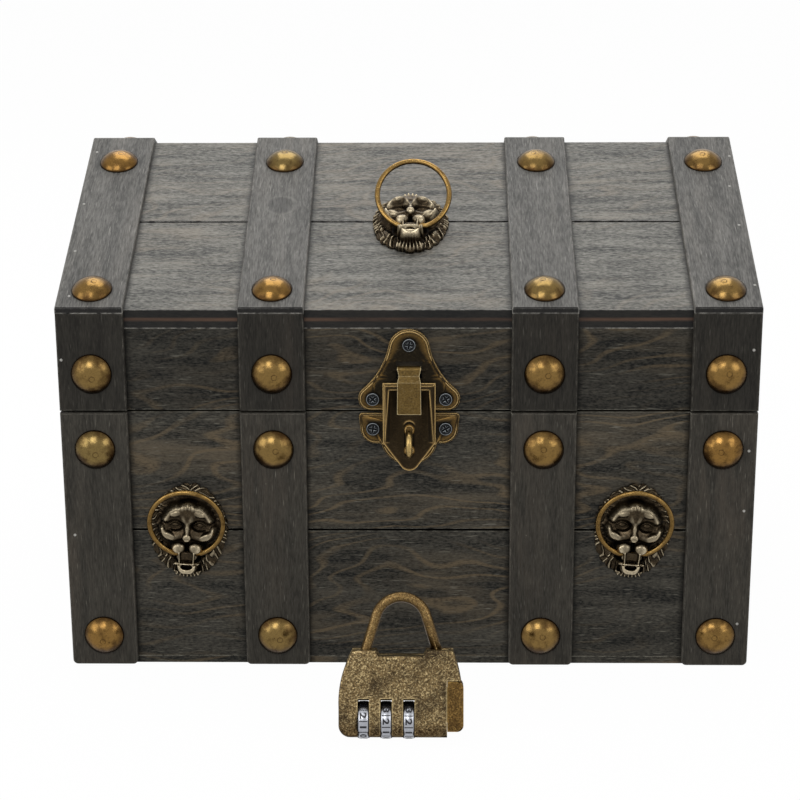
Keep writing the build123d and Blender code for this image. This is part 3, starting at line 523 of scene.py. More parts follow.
@dataclass(frozen=True)
class BrassFinish:
    """Aged brass: warm base, dark grit, blotches, a golden band and bright line at edges of worn metal and painted
    highlight, scratches, painted shade below.
    """

    base: Triple
    dark: Triple
    bright: Triple
    grit: float = 0.5
    grit_size: float = 0.4
    specks: float = 0.0
    blotch_size: float = 5.0
    blotches: float = 0.7
    band: Triple | None = None
    band_reach: float = 2.4
    rub_reach: float = 0.8
    rub: float = 0.8
    quiet: Triple | None = None
    quiet_radius: float = 9.0
    underside: float = 0.0
    low_height: float = 0.0
    roughness: float = 0.36
    scratches: float = 0.3
    carried_rub: bool = False

    def make(self, name: str) -> bpy.types.Material:
        """Builds the material.

        Args:
            name: the material's name.

        Returns:
            The material.
        """
        shader = Shader(name)
        cloud = shader.noise(shader.place, 1000.0 / self.blotch_size, 4.0, 0.6)
        grain = shader.noise(shader.place, 1000.0 / self.grit_size, 2.0, 0.6)
        colour = shader.blend(shader.product(shader.span(grain, 0.62, 0.36), self.grit), self.base, self.dark)
        if self.specks:
            speck = shader.noise(shader.stretched((1.0, 1.0, 1.0), (0.3, 0.1, 0.2)), 1000.0 / self.grit_size, 1.0)
            colour = shader.blend(shader.product(shader.span(speck, 0.52, 0.7), self.specks), colour, self.bright)
        colour = shader.blend(shader.product(shader.span(cloud, 0.47, 0.68), self.blotches), colour, self.dark)
        lines = self.scratch_lines(shader)
        colour = shader.blend(shader.math("MULTIPLY", lines, self.scratches), colour, self.bright)
        # raised places of the relief get worn metal and painted highlight; hollows darken with patina
        if self.carried_rub:
            height = shader.attribute("rub")
            colour = shader.tint(shader.span(height, 0.5, 0.1), colour, (0.13, 0.12, 0.12))
            rubbed = shader.span(height, 0.56, 1.04)
        else:
            away = 1.0
            if self.quiet is not None:
                away = shader.math("SUBTRACT", 1.0, shader.near(self.quiet, self.quiet_radius, 1.5))
            # a golden band and a bright line at edges: worn metal and painted highlight
            if self.band is not None:
                wide = shader.product(shader.edge(self.band_reach, 0.01, 0.13, 12), away)
                colour = shader.blend(wide, colour, self.band)
            rubbed = shader.product(shader.edge(self.rub_reach, 0.02, 0.16), away)
        rubbed = shader.product(rubbed, shader.span(grain, 0.2, 0.6, 0.6, 1.0), self.rub)
        colour = shader.blend(rubbed, colour, self.bright)
        # painted shade on faces that look downwards
        if self.underside:
            low = shader.span(shader.axes(shader.facing)[2], 0.15, -0.7)
            colour = shader.tint(shader.math("MULTIPLY", low, self.underside), colour, (0.22, 0.18, 0.14))
        # painted shade near the bottom
        if self.low_height:
            ragged = shader.math("ADD", shader.axes(shader.place)[2], shader.span(cloud, 0.3, 0.7, 0.0, 2.4 * MM))
            low = shader.span(ragged, (self.low_height + 2.0) * MM, self.low_height * MM)
            colour = shader.tint(shader.math("MULTIPLY", low, 0.75), colour, (0.35, 0.3, 0.26))
        rough = shader.span(cloud, 0.35, 0.7, self.roughness, min(self.roughness + 0.2, 0.9))
        height = shader.math("ADD", shader.math("MULTIPLY", grain, 0.6), lines)
        return shader.finish(colour, rough, 1.0, height, 0.03)

    def scratch_lines(self, shader: Shader) -> Socket:
        """Draws short fine scratches in three directions.

        Args:
            shader: the tree to add to.

        Returns:
            The socket of a value that is 1 in a scratch.
        """
        lines: Socket | None = None
        for turn in (38.0, -47.0, 8.0):
            wave = shader.noise(shader.stretched((420.0, 1100.0, 4200.0), turn=(0, turn, 0)), detail=1)
            lines = wave if lines is None else shader.math("MAXIMUM", lines, wave)
        return shader.span(lines, 0.66, 0.78)


@dataclass(frozen=True)
class StudFinish:
    """Tarnished brass of a dome stud, a little different on each one, with painted shade towards the rim and on
    downward faces.
    """

    gold: Triple = field(default_factory=lambda: linear(128, 96, 50))
    olive: Triple = field(default_factory=lambda: linear(116, 100, 62))
    brown: Triple = field(default_factory=lambda: linear(56, 39, 21))

    def make(self, name: str) -> bpy.types.Material:
        """Builds the material.

        Args:
            name: the material's name.

        Returns:
            The material.
        """
        shader = Shader(name)
        tone = shader.attribute("tone")
        side = shader.attribute("side")
        cloud = shader.noise(shader.place, 210.0, 4.0, 0.62)
        grit = shader.noise(shader.place, 2400.0, 2.0)
        colour = shader.blend(tone, self.gold, self.olive)
        colour = shader.blend(shader.product(shader.span(grit, 0.55, 0.36), 0.3), colour, self.brown)
        colour = shader.blend(shader.product(shader.span(cloud, 0.5, 0.68), 0.6), colour, self.brown)
        # painted shade: darker towards the rim and on downward faces, broken up by the tarnish clouds
        low = shader.span(shader.axes(shader.facing)[2], 0.1, -0.8)
        edge = shader.math("ADD", side, shader.math("MULTIPLY", shader.math("SUBTRACT", cloud, 0.5), 0.8))
        edge = shader.math("ADD", edge, shader.math("MULTIPLY", low, 0.3))
        colour = shader.blend(shader.math("MULTIPLY", shader.span(edge, 0.62, 1.08), 0.92), colour, self.brown)
        groove = shader.span(shader.attribute("rub"), 0.47, 0.36)
        colour = shader.blend(shader.math("MULTIPLY", groove, 0.75), colour, self.brown)
        spots = shader.span(shader.noise(shader.place, 700.0, 1.0), 0.72, 0.78)
        colour = shader.blend(shader.math("MULTIPLY", spots, 0.6), colour, self.brown)
        return shader.finish(colour, shader.span(cloud, 0.35, 0.7, 0.13, 0.34), 1.0, grit, 0.03)


@dataclass(frozen=True)
class PlainFinish:
    """A simple coated surface with fine grit, such as paint, ink or dark screw heads."""

    colour: Triple
    bright: Triple
    metallic: float = 0.0
    roughness: float = 0.45
    carried_rub: bool = False
    glints: float = 0.35

    def make(self, name: str) -> bpy.types.Material:
        """Builds the material.

        Args:
            name: the material's name.

        Returns:
            The material.
        """
        shader = Shader(name)
        grit = shader.noise(shader.place, 1500.0, 3.0)
        colour = shader.blend(shader.span(grit, 0.45, 0.8, 0.0, self.glints), self.colour, self.bright)
        # raised places get worn metal and painted highlight; sunk places are darkened
        if self.carried_rub:
            height = shader.attribute("rub")
            colour = shader.blend(shader.span(height, 0.66, 0.9), colour, self.bright)
            colour = shader.tint(shader.span(height, 0.45, 0.2), colour, (0.25, 0.25, 0.25))
        return shader.finish(colour, self.roughness, self.metallic, grit, 0.01, specular=0.4)


def piece_from(name: str, mesh: bpy.types.Mesh, material: bpy.types.Material) -> bpy.types.Object:
    """Puts a mesh into the scene as a smooth piece.

    Args:
        name: the piece's name.
        mesh: its mesh, already in place.
        material: its material.

    Returns:
        The new object.
    """
    made = show(name, mesh)
    mesh.materials.clear()
    mesh.materials.append(material)
    for polygon in mesh.polygons:
        polygon.use_smooth = True
    return made


def fit(piece: bpy.types.Object, body: str, slot: str, *nodes: str) -> None:
    """Tells the frame where a piece belongs.

    Args:
        piece: the piece.
        body: the CAD body that it moves with.
        slot: not used.
        *nodes: the CAD nodes that it stands for.
    """
    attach(piece, body)
    if nodes:
        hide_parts(*nodes)
    log.info("%s rides on %s, %d faces", piece.name, body, len(piece.data.polygons))


def body_of(node: str) -> str:
    """Gives the body that a CAD node belongs to."""
    return NODES[node]["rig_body"]


def dress(node: str, material: bpy.types.Material) -> None:
    """Gives a CAD node its material and keeps its shape.

    Args:
        node: the node's name.
        material: the new material.
    """
    for place in NODES[node].material_slots:
        place.material = material
    log.info("%s keeps its shape in %s", node, material.name)


def smooth_copy(
    node: str, material: bpy.types.Material, slot: str, angle: float = 32.0,
    reshape: Callable[[np.ndarray], np.ndarray] | None = None,
) -> bpy.types.Object:
    """Replaces a curved CAD node by a merged, smoothly shaded copy.

    Args:
        node: the node's name.
        material: the copy's material.
        slot: the record's material slot.
        angle: edges sharper than this many degrees stay sharp.
        reshape: a function that moves the copy's points, in metres.

    Returns:
        The copy.
    """
    mesh = NODES[node].data.copy()
    work = bmesh.new()
    work.from_mesh(mesh)
    bmesh.ops.remove_doubles(work, verts=work.verts, dist=1e-6)
    work.to_mesh(mesh)
    work.free()
    if reshape is not None:
        points = np.array([vertex.co for vertex in mesh.vertices], float)
        mesh.vertices.foreach_set("co", reshape(points).astype(np.float32).ravel())
    copy = piece_from(f"{node}_smooth", mesh, material)
    mesh.set_sharp_from_angle(angle=math.radians(angle))
    mesh.update()
    fit(copy, body_of(node), slot, node)
    return copy


@dataclass(frozen=True)
class Seat:
    """A flat place on the chest: its origin and the directions across, up and out, in millimetres."""

    origin: Triple
    across: Triple
    up: Triple
    out: Triple

    def matrix(self, turn: float = 0.0) -> Matrix:
        """Gives the move from a piece's own millimetres onto this seat.

        Args:
            turn: turn in the seat's plane, in degrees, to the left.

        Returns:
            The matrix, which also turns millimetres into metres.
        """
        columns = Matrix((self.across, self.up, self.out)).transposed().to_4x4()
        return (
            Matrix.Translation(Vector(self.origin) * MM) @ columns
            @ Matrix.Rotation(math.radians(turn), 4, "Z") @ Matrix.Scale(MM, 4)
        )


@dataclass(frozen=True)
class Layout:
    """The chest's main sizes that the dressing pieces need, in millimetres."""

    half_depth: float = 115.0
    eaves_height: float = 153.3
    slope: float = 22.6
    strap_thickness: float = 2.2

    def front(self, x: float, z: float, depth: float = 0.0, back: bool = False) -> Seat:
        """Gives a seat on the upright front or back.

        Args:
            x: place across, seen from the front.
            z: height.
            depth: how far under the strap faces it lies.
            back: True for the back.

        Returns:
            The seat.
        """
        side = 1 if back else -1
        return Seat((x, side * (self.half_depth - depth), z), (-side, 0, 0), (0, 0, 1), (0, side, 0))

    def on_slope(self, x: float, run: float, depth: float = 0.0, back: bool = False) -> Seat:
        """Gives a seat on the front or back slope of the lid.

        Args:
            x: place across, seen from the front.
            run: distance up the slope from the eaves.
            depth: how far under the strap faces it lies.
            back: True for the back.

        Returns:
            The seat.
        """
        side = 1 if back else -1
        cosine, sine = math.cos(math.radians(self.slope)), math.sin(math.radians(self.slope))
        y = side * (self.half_depth - run * cosine - depth * sine)
        z = self.eaves_height + run * sine - depth * cosine
        return Seat((x, y, z), (-side, 0, 0), (0, -side * cosine, sine), (0, side * sine, cosine))


def relief_mesh(
    name: str, outline: Callable[[np.ndarray], np.ndarray], height: Callable[[np.ndarray, np.ndarray], np.ndarray],
    around: int, steps: int, foot: float, reach: float, contrast: float, wide: Pair | None = None,
) -> bpy.types.Mesh:
    """Makes a closed mesh from a height pattern inside an outline.

    Args:
        name: the mesh's name.
        outline: gives the outline's radius for angles from the x axis.
        height: gives the height over each place.
        around: points around the outline.
        steps: points from the middle to the outline.
        foot: the height of the flat underside.
        reach: how far off the neighbours lie that tell a ridge from a hollow.
        contrast: the height over its neighbours at which a ridge is fully worn and lit.
        wide: a second reach and contrast, which tell lumps from deep places.

    Returns:
        The mesh, with a value for worn metal and painted highlight on ridges, low in hollows, and a side value for the
        distance from the middle.
    """
    angles = np.linspace(0, math.tau, around, endpoint=False)
    shares = np.linspace(0, 1, steps + 1)[1:]
    radii = shares[:, None] * outline(angles)[None, :]
    x = np.concatenate([[0.0], (radii * np.cos(angles)).ravel()])
    y = np.concatenate([[0.0], (radii * np.sin(angles)).ravel()])
    z = height(x, y)
    rub = np.full_like(z, 0.5)
    for distance, full in [(reach, contrast)] + ([wide] if wide else []):
        turns = np.linspace(0, math.tau, 13)[:-1]
        near = np.mean([height(x + distance * math.cos(a), y + distance * math.sin(a)) for a in turns], axis=0)
        rub = rub + 0.5 * np.clip((z - near) / full, -1, 1)
    rub = np.clip(rub, 0, 1)
    side = np.concatenate([[0.0], np.repeat(shares, around)])
    rim = slice(len(x) - around, len(x))
    points = np.column_stack([
        np.concatenate([x, x[rim], [0.0]]), np.concatenate([y, y[rim], [0.0]]),
        np.concatenate([z, np.full(around + 1, foot)]),
    ])
    after = np.roll(np.arange(around), -1)
    faces = [(0, 1 + i, 1 + j) for i, j in enumerate(after)]
    for step in range(steps):
        inner, outer = 1 + step * around, 1 + (step + 1) * around
        faces += [(inner + i, outer + i, outer + j, inner + j) for i, j in enumerate(after)]
    last = 1 + steps * around
    faces += [(last + i, last + around, last + j) for i, j in enumerate(after)]
    mesh = bpy.data.meshes.new(name)
    mesh.from_pydata(points.tolist(), [], faces)
    for key, values in (("rub", rub), ("side", side)):
        spread = mesh.attributes.new(key, "FLOAT", "POINT")
        full = np.concatenate([values, values[rim], [0.0]])
        spread.data.foreach_set("value", full.astype(np.float32))
    mesh.update()
    return mesh


@dataclass(frozen=True)
class Mark:
    """A place where a repeated piece stands."""

    seat: Seat
    turn: float = 0.0
    tone: float = 0.5


class Scatter:
    """Copies one master piece onto marks with Geometry Nodes."""

    def __init__(self) -> None:
        """Builds the node tree, with its sizes as named inputs."""
        self.tree = bpy.data.node_groups.new("pieces_on_marks", "GeometryNodeTree")
        face = self.tree.interface
        kinds = {"Marks": "Geometry", "Piece": "Object", "Width": "Float", "Height": "Float", "Finish": "Material"}
        self.inputs = {
            name: face.new_socket(name=name, in_out="INPUT", socket_type=f"NodeSocket{kind}")
            for name, kind in kinds.items()
        }
        face.new_socket(name="Pieces", in_out="OUTPUT", socket_type="NodeSocketGeometry")
        given = self.node("NodeGroupInput")
        master = self.node("GeometryNodeObjectInfo", {"Object": given.outputs["Piece"]}, transform_space="ORIGINAL")
        aim = self.node("GeometryNodeInputNamedAttribute", {"Name": "aim"}, data_type="FLOAT_VECTOR")
        turn = self.node("GeometryNodeInputNamedAttribute", {"Name": "turn"}, data_type="FLOAT")
        spin = self.node("FunctionNodeAxisAngleToRotation", {"Axis": (0, 0, 1), "Angle": turn.outputs["Attribute"]})
        align = self.node("FunctionNodeAlignRotationToVector", {"Vector": aim.outputs["Attribute"]}, axis="Z")
        turns = {0: align.outputs[0], 1: spin.outputs[0]}
        both = self.node("FunctionNodeRotateRotation", turns, rotation_space="LOCAL")
        wide, tall = given.outputs["Width"], given.outputs["Height"]
        sizes = self.node("ShaderNodeCombineXYZ", {0: wide, 1: wide, 2: tall})
        put = self.node("GeometryNodeInstanceOnPoints", {
            "Points": given.outputs["Marks"], "Instance": master.outputs["Geometry"],
            "Rotation": both.outputs[0], "Scale": sizes.outputs[0],
        })
        real = self.node("GeometryNodeRealizeInstances", {0: put.outputs[0]})
        dressed = {"Geometry": real.outputs[0], "Material": given.outputs["Finish"]}
        finish = self.node("GeometryNodeSetMaterial", dressed)
        self.node("NodeGroupOutput", {0: finish.outputs[0]})

    def node(self, kind: str, values: dict | None = None, **settings: object) -> bpy.types.Node:
        """Adds a node to the tree, as add_node does."""
        return add_node(self.tree, kind, values, **settings)

    def spread(
        self, name: str, marks: Sequence[Mark], master: bpy.types.Mesh, width: float, height: float,
        material: bpy.types.Material,
    ) -> bpy.types.Object:
        """Puts a copy of the master on each mark and returns them as one plain mesh.

        Args:
            name: the new piece's name.
            marks: where the copies stand.
            master: the mesh to copy, of unit size.
            width: what its sizes across are multiplied by, in millimetres.
            height: what its height is multiplied by, in millimetres.
            material: the material of the copies.

        Returns:
            The new object.
        """
        cloud = bpy.data.meshes.new(f"{name}_marks")
        cloud.from_pydata([tuple(Vector(mark.seat.origin) * MM) for mark in marks], [], [])
        aims = cloud.attributes.new("aim", "FLOAT_VECTOR", "POINT")
        aims.data.foreach_set("vector", [value for mark in marks for value in mark.seat.out])
        for key, values in (("turn", [math.radians(m.turn) for m in marks]), ("tone", [m.tone for m in marks])):
            cloud.attributes.new(key, "FLOAT", "POINT").data.foreach_set("value", values)
        holder, pattern = show(f"{name}_holder", cloud), show(f"{name}_pattern", master)
        modifier = holder.modifiers.new("pieces", "NODES")
        modifier.node_group = self.tree
        values = {"Piece": pattern, "Width": width * MM, "Height": height * MM, "Finish": material}
        for key, value in values.items():
            modifier[self.inputs[key].identifier] = value
        bpy.context.view_layer.update()
        seen = holder.evaluated_get(bpy.context.evaluated_depsgraph_get())
        mesh = bpy.data.meshes.new_from_object(seen)
        mesh.name = name
        holder.modifiers.remove(modifier)
        for helper in (holder, pattern):
            bpy.data.objects.remove(helper)
        return piece_from(name, mesh, material)


@dataclass
class Woodwork:
    """The boards, planks and straps, which keep their CAD shapes."""

    front: WoodFinish = field(default_factory=lambda: WoodFinish(
        linear(17, 18, 17), linear(72, 69, 62), linear(94, 82, 64), linear(128, 125, 114), Grain.ALONG_FRONT,
        streaks=0.45, rings=0.9, fibre_length=2.0, scuffs=0.9, beside_straps=0.85, lid_tint=0.3,
    ))
    side: WoodFinish = field(default_factory=lambda: WoodFinish(
        linear(17, 18, 17), linear(72, 69, 62), linear(94, 82, 64), linear(128, 125, 114), Grain.ALONG_SIDE,
        streaks=0.35, rings=0.35, fibre_length=2.0, scuffs=0.9, lid_tint=0.3,
    ))
    # lighter than the front finish though the stain is the same: painted top light and sheen on the upward slopes
    slope: WoodFinish = field(default_factory=lambda: WoodFinish(
        linear(46, 46, 44), linear(124, 122, 115), linear(132, 122, 108), linear(166, 163, 156), Grain.ALONG_FRONT,
        streaks=0.4, rings=0.4, fibre_length=2.2, scuffs=0.8, beside_straps=0.85, upright=(0.045, 0.042, 0.038),
        seam_height=175.3, seam_reach=0.42, gloss=0.22,
    ))
    strap: WoodFinish = field(default_factory=lambda: WoodFinish(
        linear(40, 38, 34), linear(64, 61, 55), linear(76, 67, 58), linear(130, 126, 116), Grain.UPWARDS,
        streaks=0.35, rings=0.0, fibre_length=5.0, scuffs=1.0, lid_tint=0.45,
    ))
    # lighter than the strap finish though the stain is the same: painted top light and sheen on the upward slopes
    slope_strap: WoodFinish = field(default_factory=lambda: WoodFinish(
        linear(54, 53, 50), linear(98, 96, 92), linear(104, 97, 88), linear(156, 153, 146), Grain.UP_AND_BACK,
        streaks=0.3, rings=0.0, fibre_length=5.0, scuffs=1.0, upright=(0.06, 0.055, 0.05), patch=(-54.2, -48.8, 180.85),
        gloss=0.22,
    ))

    def dress_all(self) -> None:
        """Gives each wooden node its own cut of its finish."""
        groups = (
            (self.front, ("base_board", "front_board_lower", "front_board_upper", "back_board_lower",
                          "back_board_upper", "lid_front_board", "lid_back_board")),
            (self.side, ("left_end_lower", "left_end_upper", "right_end_lower", "right_end_upper",
                         "lid_left_gable", "lid_right_gable")),
            (self.slope, ("slope_plank_front_low", "slope_plank_front_high", "slope_plank_back_low",
                          "slope_plank_back_high")),
            (self.strap, ("body_straps_front", "body_straps_back", "lid_straps_front", "lid_straps_back")),
            (self.slope_strap, ("lid_straps_front_slope", "lid_straps_back_slope")),
        )
        seed = 1.0
        for finish, nodes in groups:
            for node in nodes:
                dress(node, finish.make(f"wood_{node}", seed))
                seed += 1.0


@dataclass
class DomeStuds:
    """Brass dome studs on the straps, with a small round dent beside the crown."""

    radius: float = 8.2
    height: float = 4.6
    rim: float = 0.45
    dent_radius: float = 1.1
    dent_shift: float = 1.3
    dent_depth: float = 0.13
    dent_width: float = 0.24
    turn_step: float = 37.0
    columns: tuple[float, ...] = (-126.5, -54.4, 54.4, 126.5)
    low_run: float = 12.0
    high_run: float = 104.8
    lid_height: float = 126.0
    body_high: float = 94.3
    body_low: float = 13.2
    tones: tuple[float, ...] = (0.15, 0.6, 0.3, 0.85, 0.5, 0.05, 0.7, 0.4)

    def dome(self, x: np.ndarray, y: np.ndarray) -> np.ndarray:
        """Gives the height of a dome of radius 1 and height 1.

        Args:
            x: places across.
            y: places up.

        Returns:
            The heights.
        """
        cap = (self.height - self.rim) / self.radius
        ball = (1 + cap**2) / (2 * cap)
        reach = np.clip(x**2 + y**2, 0, 1)
        rise = (np.sqrt(ball**2 - reach) - (ball - cap)) * self.radius + self.rim
        away = np.hypot(x, y + self.dent_shift / self.radius) * self.radius
        groove = self.dent_depth * np.exp(-(((away - self.dent_radius) / self.dent_width) ** 2))
        return (rise - groove) / self.height

    def marks(self, seats: Sequence[Seat], first: int) -> list[Mark]:
        """Gives each seat its own turn and tone.

        Args:
            seats: where the studs stand.
            first: where to start in the row of tones.

        Returns:
            The marks.
        """
        count = len(self.tones)
        return [
            Mark(seat, turn=self.turn_step * (first + i) % 360, tone=self.tones[(first + 3 * i) % count])
            for i, seat in enumerate(seats)
        ]

    def build(self, layout: Layout, scatter: Scatter) -> None:
        """Builds the studs of the body and the lid.

        Args:
            layout: the chest's sizes.
            scatter: what copies the studs.
        """
        material = StudFinish().make("stud_brass")
        master = relief_mesh("stud", np.ones_like, self.dome, 48, 22, 0.0, 0.06, 0.03)
        sides = (False, True)
        groups = {
            "body_studs": [
                layout.front(x, z, back=b)
                for b in sides for x in self.columns for z in (self.body_low, self.body_high)
            ],
            "lid_studs_upright": [layout.front(x, self.lid_height, back=b) for b in sides for x in self.columns],
            "lid_studs_slope": [
                layout.on_slope(x, run, back=b)
                for b in sides for x in self.columns for run in (self.low_run, self.high_run)
            ],
        }
        for first, (node, seats) in enumerate(groups.items()):
            marks = self.marks(seats, first)
            studs = scatter.spread(f"{node}_domes", marks, master, self.radius, self.height, material)
            fit(studs, body_of(node), "studs", node)


@dataclass
class CrossScrews:
    """Dark pan-head screws with a cross recess and a bright rim of worn metal and painted highlight."""

    recess_half: float = 0.36
    recess_reach: float = 1.5
    recess_depth: float = 0.6
    latch_radius: float = 2.8
    hinge_radius: float = 2.2
    head_height: float = 1.0
    top_band: float = 0.5
    spacing: float = 6.5
    first_turn: float = 29.0
    turn_step: float = 53.0

    def head(self, x: np.ndarray, y: np.ndarray) -> np.ndarray:
        """Gives the height of a head of radius 1 and height 1.

        Args:
            x: places across.
            y: places up.

        Returns:
            The heights.
        """
        reach = np.clip(np.hypot(x, y), 0, 1)
        dome = 0.66 + 0.1 * (1 - reach**2) - 0.45 * np.clip((reach - 0.9) / 0.1, 0, 1) ** 2
        ring = 0.3 * np.exp(-(((reach - 0.86) / 0.055) ** 2))
        half, end = self.recess_half / self.latch_radius, self.recess_reach / self.latch_radius
        lane = np.minimum(np.abs(x), np.abs(y))
        length = np.maximum(np.abs(x), np.abs(y))
        cut = np.clip((half - lane) / 0.05 + 0.5, 0, 1) * np.clip((end - length) / 0.12 + 0.5, 0, 1)
        hub = np.exp(-((reach / 0.2) ** 2))
        return dome + ring - self.recess_depth * np.maximum(cut, hub)

    def build(self, layout: Layout, scatter: Scatter) -> None:
        """Builds the latch screws and the hinge screws.

        Args:
            layout: the chest's sizes.
            scatter: what copies the screws.
        """
        master = relief_mesh("screw", np.ones_like, self.head, 72, 26, 0.0, 0.09, 0.2)
        finish = PlainFinish(linear(22, 24, 26), linear(128, 132, 134), 0.9, 0.36, carried_rub=True, glints=0.1)
        material = finish.make("screw_black")
        for node in ("latch_screws_lower", "latch_screws_upper", "hinge_screws_body", "hinge_screws_lid"):
            radius = self.latch_radius if node.startswith("latch") else self.hinge_radius
            screws = scatter.spread(f"{node}_heads", self.find(node), master, radius, self.head_height, material)
            fit(screws, body_of(node), "screws", node)

    def find(self, node: str) -> list[Mark]:
        """Reads where the CAD screws of a node stand.

        Args:
            node: the node's name.

        Returns:
            A mark for each screw.
        """
        points = np.array([vertex.co for vertex in NODES[node].data.vertices], float) / MM
        back = points[:, 1].mean() > 0
        side = 1 if back else -1
        face = np.abs(points[:, 1]).max()
        heads = points[np.abs(points[:, 1]) > face - self.top_band]
        groups: list[list[np.ndarray]] = []
        for point in heads:
            for group in groups:
                if np.hypot(*(point - group[0])[[0, 2]]) < self.spacing:
                    group.append(point)
                    break
            else:
                groups.append([point])
        marks = []
        for index, group in enumerate(groups):
            middle = (np.min(group, axis=0) + np.max(group, axis=0)) / 2
            origin = (middle[0], side * (face - self.head_height), middle[2])
            seat = Seat(origin, (-side, 0, 0), (0, 0, 1), (0, side, 0))
            marks.append(Mark(seat, turn=self.first_turn + self.turn_step * index))
        return marks


@dataclass
class Brads:
    """Small worn brads that hold the end straps."""

    radius: float = 0.6
    proud: float = 0.08
    slope_places: tuple[Pair, ...] = (
        (-137.1, 112.9), (-137.6, 72.7), (-136.8, 38.5), (-135.1, 7.7),
        (138.4, 108.9), (135.9, 85.6), (136.7, 56.7), (138.3, 14.9),
    )
    lid_places: tuple[Pair, ...] = ((-138.3, 131.8), (137.0, 135.9))
    body_places: tuple[Pair, ...] = ((-136.5, 57.4), (136.9, 93.8), (136.0, 68.2), (135.3, 18.7))

    def build(self, layout: Layout, scatter: Scatter) -> None:
        """Builds the brads of the body and the lid.

        Args:
            layout: the chest's sizes.
            scatter: what copies the brads.
        """
        def crown(x: np.ndarray, y: np.ndarray) -> np.ndarray:
            """Gives the height of a low round head."""
            return 1 - 0.5 * (x**2 + y**2)

        master = relief_mesh("brad", np.ones_like, crown, 14, 3, -1.0, 0.2, 0.2)
        material = PlainFinish(linear(140, 138, 132), linear(206, 204, 198), roughness=0.5).make("brad_worn")
        sides = (False, True)
        groups = {
            "chest": [layout.front(x, z, back=b) for b in sides for x, z in self.body_places],
            "lid": [layout.front(x, z, back=b) for b in sides for x, z in self.lid_places]
            + [layout.on_slope(x, run, back=b) for b in sides for x, run in self.slope_places],
        }
        for body, seats in groups.items():
            marks = [Mark(seat) for seat in seats]
            brads = scatter.spread(f"{body}_brads", marks, master, self.radius, self.proud, material)
            fit(brads, body, "screws")


@dataclass(frozen=True)
class Ridge:
    """A raised or sunk line on a relief: its points, half width and level."""

    points: tuple[Pair, ...]
    width: float
    level: float
    end_level: float | None = None

    def press(self, x: np.ndarray, y: np.ndarray, height: np.ndarray) -> np.ndarray:
        """Draws the heights towards the line's level.

        Args:
            x: places across.
            y: places up.
            height: the heights so far.

        Returns:
            The new heights.
        """
        best = np.full_like(x, 1e9)
        along = np.zeros_like(x)
        spans = len(self.points) - 1
        for index in range(spans):
            (x0, y0), (x1, y1) = self.points[index], self.points[index + 1]
            dx, dy = x1 - x0, y1 - y0
            share = np.clip(((x - x0) * dx + (y - y0) * dy) / (dx * dx + dy * dy), 0, 1)
            away = np.hypot(x - x0 - share * dx, y - y0 - share * dy)
            closer = away < best
            best = np.where(closer, away, best)
            along = np.where(closer, (index + share) / spans, along)
        end = self.level if self.end_level is None else self.end_level
        level = self.level + (end - self.level) * along
        hold = np.exp(-((best / self.width) ** 2))
        return height + (level - height) * hold


@dataclass(frozen=True)
class Ball:
    """A rounded lump or pit on a relief: its middle, half sizes, level and edge softness."""

    x: float
    y: float
    across: float
    up: float
    level: float
    soft: float = 0.45
    dome: float = 0.0
    tilt: float = 0.0

    def press(self, x: np.ndarray, y: np.ndarray, height: np.ndarray) -> np.ndarray:
        """Draws the heights towards the lump.

        Args:
            x: places across.
            y: places up.
            height: the heights so far.

        Returns:
            The new heights.
        """
        angle = math.radians(self.tilt)
        dx, dy = x - self.x, y - self.y
        u = (dx * math.cos(angle) + dy * math.sin(angle)) / self.across
        v = (dy * math.cos(angle) - dx * math.sin(angle)) / self.up
        away = np.hypot(u, v)
        hold = 1 / (1 + np.exp((away - 1) * 6 / self.soft))
        crown = self.level + self.dome * (np.sqrt(np.clip(1 - away**2, 0, 1)) - 1)
        return height + (crown - height) * hold


def arc(points: Sequence[Pair], count: int = 8) -> tuple[Pair, ...]:
    """Bends a line through three points.

    Args:
        points: its start, the point it passes, and its end.
        count: how many spans it gets.

    Returns:
        The points of the bent line.
    """
    (x0, y0), (xm, ym), (x2, y2) = points
    x1, y1 = 2 * xm - (x0 + x2) / 2, 2 * ym - (y0 + y2) / 2
    shares = [i / count for i in range(count + 1)]
    return tuple(
        tuple((1 - t) ** 2 * a + 2 * t * (1 - t) * b + t * t * c for a, b, c in ((x0, x1, x2), (y0, y1, y2)))
        for t in shares
    )


def both_sides(points: Sequence[Pair]) -> tuple[tuple[Pair, ...], tuple[Pair, ...]]:
    """Gives a line and its mirror image across the middle.

    Args:
        points: the line on the right.

    Returns:
        The line and its image.
    """
    return tuple(points), tuple((-x, y) for x, y in points)


